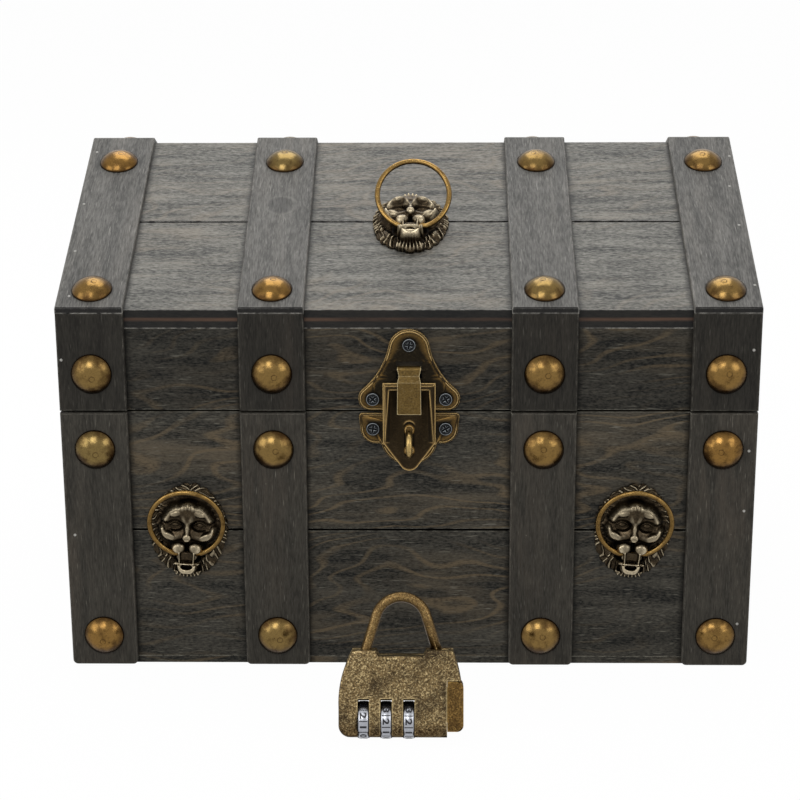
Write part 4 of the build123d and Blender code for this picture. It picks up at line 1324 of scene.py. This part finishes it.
@dataclass
class LionMask:
    """A cast lion head: mane, face, open mouth and beard as one relief."""

    half_width: float = 16.3
    half_height: float = 20.4
    around: int = 400
    steps: int = 128
    tufts: int = 27
    middle_y: float = 1.0
    drop: float = 1.3
    tiers: tuple[tuple[float, float, int, float, float], ...] = (
        (0.82, 1.1, 6, 0.3, 1.2), (0.69, 0.86, 1, 0.8, 1.3), (0.58, 0.73, -4, 0.1, 1.1),
    )

    def outline(self, angles: np.ndarray) -> np.ndarray:
        """Gives the ragged edge of the mane.

        Args:
            angles: angles from the x axis.

        Returns:
            The radius at each angle.
        """
        oval = 1 / np.sqrt((np.cos(angles) / self.half_width) ** 2 + (np.sin(angles) / self.half_height) ** 2)
        wave = self.saw(angles, self.tufts, 0.3)
        slow = 0.5 + 0.5 * np.sin(5 * angles + 0.7)
        beard = 0.05 * np.exp(-(((np.mod(angles, math.tau) - 1.5 * math.pi) / 0.22) ** 2))
        return oval * (0.925 + 0.075 * wave * (0.45 + 0.55 * slow) + beard)

    def saw(self, angles: np.ndarray, count: int, phase: float) -> np.ndarray:
        """Gives rounded teeth from 0 to 1 round the mask.

        Args:
            angles: angles from the x axis.
            count: how many teeth.
            phase: where they start.

        Returns:
            The height of the teeth.
        """
        share = np.mod(angles * count / math.tau + phase, 1.0)
        return np.sqrt(np.clip(1 - np.abs(2 * share - 1) ** 1.6, 0, 1))

    def strand(self, angles: np.ndarray, count: int, phase: float) -> np.ndarray:
        """Gives narrow ridges from 0 to 1 round the mask.

        Args:
            angles: angles from the x axis.
            count: how many ridges.
            phase: where they start.

        Returns:
            The height of the ridges.
        """
        share = np.mod(angles * count / math.tau + phase, 1.0)
        return np.exp(-(((2 * share - 1) / 0.42) ** 2))

    def mane(self, x: np.ndarray, y: np.ndarray) -> np.ndarray:
        """Gives the mane: three tiers of swept strands.

        Args:
            x: places across.
            y: places up.

        Returns:
            The heights.
        """
        angle = np.arctan2(y - self.middle_y, x)
        reach = np.hypot(x / self.half_width, (y - 0.3) / self.half_height)
        side = np.where(x < 0, -1.0, 1.0)
        sweep = side * 1.5 * (reach - 0.7) * np.cos(angle * 0.5 - math.pi / 4) ** 2
        wander = 0.07 * np.sin(angle * 7 + 1.3) + 0.05 * np.sin(angle * 12 + 9 * reach)
        height = 0.7 + 2.1 * np.clip((1.04 - reach) / 0.34, 0, 1)
        for inner, outer, more, phase, depth in self.tiers:
            teeth = self.strand(angle + sweep + wander, self.tufts + more, phase)
            band = np.clip((reach - inner) / 0.05, 0, 1) * np.clip((outer - reach) / 0.06, 0, 1)
            height = height + band * depth * (teeth - 0.35)
        split = self.strand(angle + sweep * 1.3 + wander, self.tufts * 3, 0.5)
        return height + 0.3 * (split - 0.4) * np.clip((reach - 0.62) / 0.1, 0, 1)

    def features(self) -> list[Ridge | Ball]:
        """Gives the parts of the face, in the order they are pressed.

        Returns:
            The ridges and lumps.
        """
        parts: list[Ridge | Ball] = [
            Ball(0, 1.6, 12.4, 14.6, 1.1, soft=0.26),
            Ball(0, 3.2, 9.2, 9.4, 6.2, soft=0.42, dome=1.4),
            Ball(0, -6.4, 5.0, 4.4, 6.5, soft=0.4, dome=0.6),
            Ball(0, 10.6, 3.7, 2.7, 7.2, soft=0.45, dome=1.2),
        ]
        for x in (-2.4, -0.9, 0.9, 2.4):
            parts.append(Ridge(((0.3 * x, 8.0), (x, 12.2 - 0.12 * x * x)), 0.5, 6.6, 7.9))
        for line in both_sides(arc(((0.9, 6.6), (4.7, 10.6), (9.0, 6.0)))):
            parts.append(Ridge(line, 2.0, 7.9, 7.0))
        for sign in (-1, 1):
            parts.append(Ball(sign * 4.9, 8.9, 2.4, 1.3, 8.1, soft=0.95, dome=0.5, tilt=-sign * 14))
        for sign in (-1, 1):
            parts.append(Ball(sign * 5.0, 3.5, 3.3, 2.3, 4.6, soft=0.4, tilt=-sign * 5))
        for line in both_sides(arc(((10.3, 2.0), (7.9, -1.7), (2.4, -0.6)))):
            parts.append(Ridge(line, 1.9, 7.2, 7.4))
        for sign in (-1, 1):
            parts.append(Ball(sign * 7.2, -0.7, 2.5, 1.3, 7.8, soft=0.95, dome=0.4, tilt=sign * 34))
        for sign in (-1, 1):
            parts.append(Ball(sign * 5.0, 3.3, 1.5, 0.75, 4.9, soft=0.5, dome=0.5))
            parts.append(Ridge(arc(((sign * 2.8, 3.9), (sign * 5.0, 4.9), (sign * 7.2, 3.7))), 0.34, 5.2))
        parts += [
            Ridge(((0, 7.2), (0, 2.6)), 0.8, 7.2, 8.0),
            Ridge(((0, 2.6), (0, -0.6)), 1.2, 8.0, 9.2),
            Ball(0, -0.9, 1.9, 1.7, 9.3, soft=0.6, dome=1.0),
            Ball(0, -2.0, 1.1, 1.0, 9.0, soft=0.7, dome=0.6),
            Ridge(((0, -3.6), (0, -7.4)), 0.7, 5.2),
        ]
        for sign in (-1, 1):
            parts.append(Ball(sign * 3.5, -5.8, 3.1, 2.7, 8.8, soft=0.5, dome=2.4, tilt=-sign * 14))
            parts.append(Ball(sign * 1.15, -2.7, 0.55, 0.4, 7.0, soft=0.4))
        parts += [
            Ball(0, -9.9, 4.4, 2.2, 6.95, soft=0.2),
            Ball(0, -14.6, 4.3, 3.2, 8.6, soft=0.28, dome=3.0),
            Ball(0, -13.8, 2.3, 1.0, 5.9, soft=0.3),
            Ridge(arc(((-3.5, -13.3), (0, -16.9), (3.5, -13.3)), 12), 0.6, 8.0),
            Ridge(((-5.0, -12.2), (5.0, -12.2)), 0.36, 9.0),
        ]
        for line in both_sides(((3.0, -7.6), (2.8, -12.2))):
            parts.append(Ridge(line, 0.42, 8.8))
        return parts

    def height(self, x: np.ndarray, y: np.ndarray) -> np.ndarray:
        """Gives the whole relief.

        Args:
            x: places across.
            y: places up.

        Returns:
            The heights.
        """
        height = self.mane(x, y)
        for part in self.features():
            height = part.press(x, y, height)
        fan = np.arctan2(x, -(y + 9.5))
        depth = np.clip((-16.6 - y) / 0.8, 0, 1) * np.clip((6.0 - np.abs(x)) / 1.0, 0, 1)
        rays = np.exp(-((np.sin(fan * 21) / 0.5) ** 2))
        fringe = 4.0 - 0.4 * np.clip(-16.6 - y, 0, 6) + 1.3 * (rays - 0.4)
        height = height + (fringe - height) * depth
        edge = np.hypot(x / self.half_width, y / self.half_height)
        height = height * np.clip((1.06 - edge) / 0.1, 0.35, 1)
        return np.clip(height, 0.4, 10.2)

    def build(self, layout: Layout) -> None:
        """Builds the three masks.

        Args:
            layout: the chest's sizes.
        """
        # bright ridges are worn bronze and painted highlight; the dark hollows are patina
        brass = BrassFinish(
            linear(66, 56, 42), linear(26, 22, 17), linear(190, 176, 148), blotch_size=1.8, blotches=0.6,
            rub=0.9, roughness=0.22, scratches=0.04, carried_rub=True,
        )
        material = brass.make("lion_bronze")
        depth = layout.strap_thickness
        places = {
            "left": (layout.front(-89.97, 60.6 - self.drop, depth), -3.0),
            "right": (layout.front(91.37, 60.6 - self.drop, depth), -4.5),
            "top": (layout.on_slope(0.5, 61.3 - self.drop, depth), 0.0),
        }
        master = relief_mesh("lion", self.outline, self.height, self.around, self.steps, 0.0, 0.8, 1.7, (2.4, 3.1))
        for side, (seat, turn) in places.items():
            mesh = master.copy()
            mesh.transform(seat.matrix(turn))
            mask = piece_from(f"lion_face_{side}", mesh, material)
            fit(mask, body_of(f"lion_mask_{side}"), "masks", f"lion_mask_{side}")


@dataclass
class PullRings:
    """The wire rings in the lions' mouths."""

    # the ring darkens on its downward faces as painted shade
    finish: BrassFinish = field(default_factory=lambda: BrassFinish(
        linear(138, 110, 62), linear(66, 48, 26), linear(226, 208, 160), blotch_size=3.0, blotches=0.6,
        rub_reach=0.5, rub=0.2, roughness=0.15, scratches=0.15, underside=1.0,
    ))

    def build(self) -> None:
        """Dresses the three rings."""
        material = self.finish.make("ring_brass")
        for node in ("ring_left", "ring_right", "ring_top"):
            smooth_copy(node, material, "rings", 50.0)


@dataclass
class LatchWork:
    """The latch plates, the hasp with its strap, and the staple."""

    strap_middle: float = 0.4
    waist_height: float = 125.6
    waist_reach: float = 1.9
    waist_depth: float = 0.15
    plate: BrassFinish = field(default_factory=lambda: BrassFinish(
        linear(36, 31, 23), linear(20, 17, 13), linear(238, 212, 156), grit=0.6, blotch_size=9.0, blotches=0.45,
        band=linear(184, 144, 78), band_reach=1.9, rub_reach=0.8, rub=1.0, quiet=(0.4, -115.0, 126.0), quiet_radius=7.6,
        roughness=0.42, scratches=0.03,
    ))
    hasp: BrassFinish = field(default_factory=lambda: BrassFinish(
        linear(50, 41, 28), linear(28, 23, 16), linear(216, 186, 126), grit=0.6, blotch_size=9.0, blotches=0.4,
        band=linear(132, 106, 66), band_reach=1.7, rub_reach=0.75, rub=0.9, quiet=(0.4, -116.5, 98.0), quiet_radius=7.3,
        roughness=0.36, scratches=0.04,
    ))
    strap: BrassFinish = field(default_factory=lambda: BrassFinish(
        linear(106, 86, 48), linear(64, 51, 30), linear(228, 210, 166), grit=0.75, grit_size=0.6, blotch_size=5.0,
        blotches=0.35, rub_reach=0.5, rub=0.9, roughness=0.44, scratches=0.2,
    ))
    staple: BrassFinish = field(default_factory=lambda: BrassFinish(
        linear(176, 150, 96), linear(96, 74, 40), linear(236, 222, 186), blotch_size=5.0, blotches=0.2,
        rub_reach=0.5, rub=0.3, roughness=0.22, scratches=0.1,
    ))
    hinge: BrassFinish = field(default_factory=lambda: BrassFinish(
        linear(58, 47, 31), linear(32, 26, 18), linear(190, 162, 108), blotch_size=7.0, blotches=0.5,
        band=linear(110, 86, 50), band_reach=1.6, rub_reach=0.7, rub=0.8, roughness=0.4, scratches=0.06,
    ))

    def narrow(self, points: np.ndarray) -> np.ndarray:
        """Draws the strap's sides in where it bends round the bar.

        Args:
            points: the strap's points, in metres.

        Returns:
            The moved points.
        """
        middle = self.strap_middle * MM
        dip = np.exp(-(((points[:, 2] / MM - self.waist_height) / self.waist_reach) ** 2))
        moved = points.copy()
        moved[:, 0] = middle + (points[:, 0] - middle) * (1 - self.waist_depth * dip)
        return moved

    def build(self) -> None:
        """Dresses the latch and the hinges."""
        dark = self.plate.make("latch_bronze")
        old = self.hinge.make("hinge_bronze")
        for node in ("latch_upper_plate", "latch_lower_plate"):
            smooth_copy(node, dark, "latch", 24.0)
        smooth_copy("hasp_plate", self.hasp.make("hasp_bronze"), "latch", 24.0)
        smooth_copy("hasp_strap", self.strap.make("strap_brass"), "hasp", 30.0, self.narrow)
        smooth_copy("latch_staple", self.staple.make("staple_brass"), "hasp", 40.0)
        for node in ("hinge_leaves_body", "hinge_leaves_lid", "hinge_pins"):
            smooth_copy(node, old, "hinges", 30.0)


@dataclass
class Padlock:
    """The padlock's case, shackle, slider and dials with their numbers."""

    dial_radius: float = 7.2
    dial_width: float = 3.8
    dial_y: float = -182.0
    dial_z: float = 7.2
    digit_height: float = 2.6
    digit_width: float = 3.0
    worn: float = 0.03
    line_width: float = 0.4
    offsets: dict[str, float] = field(default_factory=lambda: {
        "dial_left": 74.0, "dial_middle": 56.0, "dial_right": 55.0,
    })
    digits: int = 10
    digit_aspect: float = 2.1
    digit_weight: float = 0.035
    digit_sink: float = 0.1
    cut_step: float = 0.15
    line_inset: float = 0.25
    washer_gap: float = 0.05
    baffle_thickness: float = 0.3
    slot_width: float = 4.4
    washer_radius: float = 7.0
    baffle: tuple[float, float, float, float] = (-19.5, 3.7, 13.2, 17.6)
    baffle_depth: float = 4.6
    top_digit: int = 3
    # its bright edges are worn metal and painted highlight, with painted shade on downward faces and near the bottom
    case: BrassFinish = field(default_factory=lambda: BrassFinish(
        linear(116, 97, 66), linear(40, 32, 24), linear(212, 190, 142), grit=0.8, grit_size=0.7, specks=0.55,
        blotch_size=11.0, blotches=0.85, rub_reach=1.2, rub=0.55, roughness=0.34, scratches=0.7, underside=0.6,
        low_height=7.4,
    ))
    slide: BrassFinish = field(default_factory=lambda: BrassFinish(
        linear(100, 76, 42), linear(46, 34, 20), linear(196, 160, 92), grit=0.8, grit_size=0.6, specks=0.25,
        blotch_size=7.0, blotches=0.6, rub_reach=0.9, rub=0.5, roughness=0.36, scratches=0.3,
    ))
    bow: BrassFinish = field(default_factory=lambda: BrassFinish(
        linear(118, 94, 58), linear(54, 40, 24), linear(204, 178, 122), grit=0.8, grit_size=0.5, specks=0.3,
        blotch_size=4.0, blotches=0.5, rub_reach=0.5, rub=0.2, roughness=0.34, scratches=0.3, underside=0.6,
    ))

    def build(self) -> None:
        """Dresses the padlock and puts the numbers on its dials."""
        shell = self.case.make("padlock_bronze")
        for node in ("padlock_case_front", "padlock_case_back"):
            smooth_copy(node, shell, "padlock", 30.0)
        smooth_copy("release_slider", self.slide.make("slider_bronze"), "padlock", 30.0)
        smooth_copy("shackle", self.bow.make("shackle_bronze"), "padlock", 40.0)
        steel = PlainFinish(linear(120, 122, 126), linear(190, 192, 196), metallic=1.0, roughness=0.3)
        inside = steel.make("padlock_steel")
        for node in ("dial_shaft", "shackle_pin", "reset_button"):
            smooth_copy(node, inside, "padlock_inside", 30.0)
        shade = PlainFinish(linear(14, 13, 13), linear(30, 28, 26), metallic=0.4, roughness=0.6).make("lock_shade")
        fit(piece_from("dial_washers", self.washers(), shade), "padlock", "padlock_inside")
        satin = PlainFinish(linear(158, 160, 166), linear(206, 208, 212), metallic=1.0, roughness=0.3)
        silver = satin.make("dial_silver")
        ink = PlainFinish(linear(16, 16, 22), linear(40, 40, 48), roughness=0.4).make("dial_ink")
        for node, start in self.offsets.items():
            smooth_copy(node, silver, "dials", 30.0, self.shrink)
            low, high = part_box(node)
            numbers = piece_from(f"{node}_numbers", self.numbers(start, (low.x + high.x) / 2), ink)
            fit(numbers, node, "dials")

    def shrink(self, points: np.ndarray) -> np.ndarray:
        """Makes a dial a hair smaller, so that its numbers stay inside its measured size.

        Args:
            points: the places of the vertices, in metres.

        Returns:
            The new places.
        """
        axis = np.array((0.0, self.dial_y, self.dial_z)) * MM
        keep = np.array((1.0, *(1 - self.worn / self.dial_radius,) * 2))
        away = points - axis
        moved = axis + away * keep
        moved[:, 0] = points[:, 0]
        return moved

    def washers(self) -> bpy.types.Mesh:
        """Makes dark washers beside the dials and a dark plate over them: painted shade that shuts the view through the
        case.

        Returns:
            The mesh, in place.
        """
        whole = bmesh.new()
        for node in self.offsets:
            low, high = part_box(node)
            for side in (-1, 1):
                edge = (high.x if side > 0 else low.x) + side * self.washer_gap * MM
                outer = (low.x + high.x) / 2 + side * self.slot_width / 2 * MM
                made = bmesh.ops.create_cone(
                    whole, cap_ends=True, segments=48, radius1=self.washer_radius * MM, radius2=self.washer_radius * MM,
                    depth=abs(outer - edge),
                )
                place = Matrix.Translation(((outer + edge) / 2, self.dial_y * MM, self.dial_z * MM))
                bmesh.ops.transform(whole, matrix=place @ Matrix.Rotation(math.pi / 2, 4, "Y"), verts=made["verts"])
        left, right, bottom, top = (value * MM for value in self.baffle)
        made = bmesh.ops.create_cube(whole, size=1.0)
        place = Matrix.Translation(((left + right) / 2, (self.dial_y + self.baffle_depth) * MM, (bottom + top) / 2))
        size = Matrix.Diagonal((right - left, self.baffle_thickness * MM, top - bottom, 1.0))
        bmesh.ops.transform(whole, matrix=place @ size, verts=made["verts"])
        mesh = bpy.data.meshes.new("dial_washers")
        whole.to_mesh(mesh)
        whole.free()
        return mesh

    def numbers(self, start: float, middle: float) -> bpy.types.Mesh:
        """Makes the ten digits and their lines and bends them round a dial.

        Args:
            start: the angle of the top digit over the horizontal, in degrees.
            middle: the dial's middle in x, in metres.

        Returns:
            The mesh, in place.
        """
        whole = bmesh.new()
        pitch = 360.0 / self.digits
        for step in range(self.digits):
            digit = (self.top_digit - step) % self.digits
            angle = start - pitch * step
            self.add_digit(whole, str(digit), angle, middle)
            self.add_line(whole, angle + pitch / 2, middle)
        mesh = bpy.data.meshes.new("numbers")
        whole.to_mesh(mesh)
        whole.free()
        return mesh

    def on_dial(self, along: float, round_way: float, angle: float, middle: float) -> Vector:
        """Gives a point on the dial's surface.

        Args:
            along: distance along the axis from the dial's middle, in millimetres.
            round_way: distance downwards round the dial, in millimetres.
            angle: the angle where that distance starts, in degrees.
            middle: the dial's middle in x, in metres.

        Returns:
            The point, in metres.
        """
        radius = self.dial_radius - self.digit_sink * self.worn
        turn = math.radians(angle) - round_way / radius
        y = self.dial_y - radius * math.cos(turn)
        z = self.dial_z + radius * math.sin(turn)
        return Vector((middle + along * MM, y * MM, z * MM))

    def add_digit(self, whole: bmesh.types.BMesh, text: str, angle: float, middle: float) -> None:
        """Adds one bent digit, its top to the right.

        Args:
            whole: the mesh to add to.
            text: the digit.
            angle: where its middle stands, in degrees.
            middle: the dial's middle in x, in metres.
        """
        curve = bpy.data.curves.new("digit", "FONT")
        curve.body = text
        curve.size = 1.0
        curve.offset = self.digit_weight
        holder = show("digit", curve)
        bpy.context.view_layer.update()
        flat = bpy.data.meshes.new_from_object(holder.evaluated_get(bpy.context.evaluated_depsgraph_get()))
        bpy.data.objects.remove(holder)
        part = bmesh.new()
        part.from_mesh(flat)
        xs = [vertex.co.x for vertex in part.verts]
        ys = [vertex.co.y for vertex in part.verts]
        tall = self.digit_height / (max(ys) - min(ys))
        broad = tall * self.digit_width / self.digit_aspect
        middle_x, middle_y = (min(xs) + max(xs)) / 2, (min(ys) + max(ys)) / 2
        for vertex in part.verts:
            vertex.co = ((vertex.co.x - middle_x) * broad, (vertex.co.y - middle_y) * tall, 0)
        reach = (max(xs) - min(xs)) * broad / 2
        cut = -reach + self.cut_step
        while cut < reach:
            shape = part.verts[:] + part.edges[:] + part.faces[:]
            bmesh.ops.bisect_plane(part, geom=shape, plane_co=(cut, 0, 0), plane_no=(1, 0, 0))
            cut += self.cut_step
        for vertex in part.verts:
            vertex.co = self.on_dial(vertex.co.y, vertex.co.x, angle, middle)
        joined = bpy.data.meshes.new("digit_part")
        part.to_mesh(joined)
        part.free()
        whole.from_mesh(joined)

    def add_line(self, whole: bmesh.types.BMesh, angle: float, middle: float) -> None:
        """Adds the line between two digits.

        Args:
            whole: the mesh to add to.
            angle: where it stands, in degrees.
            middle: the dial's middle in x, in metres.
        """
        half, thin = self.dial_width / 2 - self.line_inset, self.line_width / 2
        corners = [(-half, -thin), (-half, thin), (half, thin), (half, -thin)]
        whole.faces.new([whole.verts.new(self.on_dial(along, way, angle, middle)) for along, way in corners])


@dataclass
class Studio:
    """The camera, the floor, the lamps and the background."""

    lens: float = 93.5
    place: Triple = (0.01082, -0.90949, 0.35814)
    pitch: float = 17.0
    yaw: float = -1.0147
    roll: float = -0.2757
    floor_size: float = 6.0
    floor_shade: float = 0.86
    floor_white: float = 0.98
    even_light: float = 0.35
    lamps: tuple[tuple[str, Triple, Triple, float, float], ...] = (
        ("lamp_top", (0.0, 0.45, 1.3), (0, 0, 0.12), 1.1, 12.0),
        ("lamp_front", (-0.45, -1.5, 1.35), (0, 0, 0.1), 0.8, 10.0),
        ("lamp_left", (-1.3, -0.9, 0.7), (0, 0, 0.1), 0.9, 6.0),
        ("lamp_right", (1.2, -1.0, 0.8), (0, 0, 0.1), 0.8, 5.0),
    )

    def camera(self) -> None:
        """Sets the camera where the photograph was taken from."""
        pitch, yaw, roll = (math.radians(angle) for angle in (self.pitch, self.yaw, self.roll))
        ahead = Vector((math.sin(yaw) * math.cos(pitch), math.cos(yaw) * math.cos(pitch), -math.sin(pitch)))
        right = Vector((math.cos(yaw), -math.sin(yaw), 0))
        up = right.cross(ahead)
        across = right * math.cos(roll) + up * math.sin(roll)
        rise = up * math.cos(roll) - right * math.sin(roll)
        data = bpy.data.cameras.new("camera")
        data.lens = self.lens
        data.sensor_width = 36.0
        data.clip_start = 0.01
        viewer = show("camera", data)
        turned = Matrix((across, rise, -ahead)).transposed().to_4x4()
        viewer.matrix_world = Matrix.Translation(self.place) @ turned
        bpy.context.scene.camera = viewer

    def backdrop_share(self, tree: bpy.types.NodeTree) -> Socket:
        """Finds the rays that see the background itself.

        Args:
            tree: the node tree to add to.

        Returns:
            The socket of a value that is 1 for camera, mirror and glass rays.
        """
        path = add_node(tree, "ShaderNodeLightPath").outputs
        total = path["Is Camera Ray"]
        for name in ("Is Glossy Ray", "Is Transmission Ray"):
            total = add_node(tree, "ShaderNodeMath", {0: total, 1: path[name]}, operation="MAXIMUM").outputs[0]
        return total

    def floor(self) -> None:
        """Lays a pale floor that keeps the object's shadow."""
        half = self.floor_size / 2
        mesh = bpy.data.meshes.new("floor")
        mesh.from_pydata([(-half, -half, 0), (half, -half, 0), (half, half, 0), (-half, half, 0)], [], [(0, 1, 2, 3)])
        material = bpy.data.materials.new("floor_pale")
        material.use_nodes = True
        tree = material.node_tree
        tree.nodes.clear()
        pale = add_node(tree, "ShaderNodeBsdfDiffuse", {"Color": (*(self.floor_shade,) * 3, 1)})
        white = add_node(tree, "ShaderNodeEmission")
        values = {0: self.backdrop_share(tree), 1: self.floor_white}
        share = add_node(tree, "ShaderNodeMath", values, operation="MULTIPLY")
        mix = add_node(tree, "ShaderNodeMixShader", {0: share.outputs[0], 1: pale.outputs[0], 2: white.outputs[0]})
        add_node(tree, "ShaderNodeOutputMaterial", {0: mix.outputs[0]})
        mesh.materials.append(material)
        show("floor", mesh)

    def lamp(self, name: str, place: Triple, target: Triple, size: float, power: float) -> None:
        """Hangs a soft square lamp.

        Args:
            name: its name.
            place: where it hangs, in metres.
            target: the point it faces.
            size: the length of its side.
            power: its power in watts.
        """
        data = bpy.data.lights.new(name, "AREA")
        data.size = size
        data.energy = power
        way = Vector(target) - Vector(place)
        turned = way.to_track_quat("-Z", "Y").to_matrix().to_4x4()
        show(name, data).matrix_world = Matrix.Translation(place) @ turned

    def world(self, level: float) -> None:
        """Lights the scene evenly and shows a white background.

        Args:
            level: the strength of the even light.
        """
        scene = bpy.context.scene
        scene.world = bpy.data.worlds.new("studio")
        scene.world.use_nodes = True
        tree = scene.world.node_tree
        tree.nodes.clear()
        values = {"Value": self.backdrop_share(tree), "To Min": level, "To Max": 1.0}
        strength = add_node(tree, "ShaderNodeMapRange", values)
        light = add_node(tree, "ShaderNodeBackground", {"Color": (1, 1, 1, 1), "Strength": strength.outputs[0]})
        add_node(tree, "ShaderNodeOutputWorld", {0: light.outputs[0]})

    def build(self) -> None:
        """Sets up the whole studio."""
        self.camera()
        self.floor()
        for lamp in self.lamps:
            self.lamp(*lamp)
        self.world(self.even_light)
        bpy.context.scene.view_settings.view_transform = "Standard"


def main() -> None:
    """Dresses the chest piece by piece."""
    layout = Layout()
    scatter = Scatter()
    Studio().build()
    Woodwork().dress_all()
    DomeStuds().build(layout, scatter)
    CrossScrews().build(layout, scatter)
    Brads().build(layout, scatter)
    LionMask().build(layout)
    PullRings().build()
    LatchWork().build()
    Padlock().build()


if __name__ == "__main__":
    main()
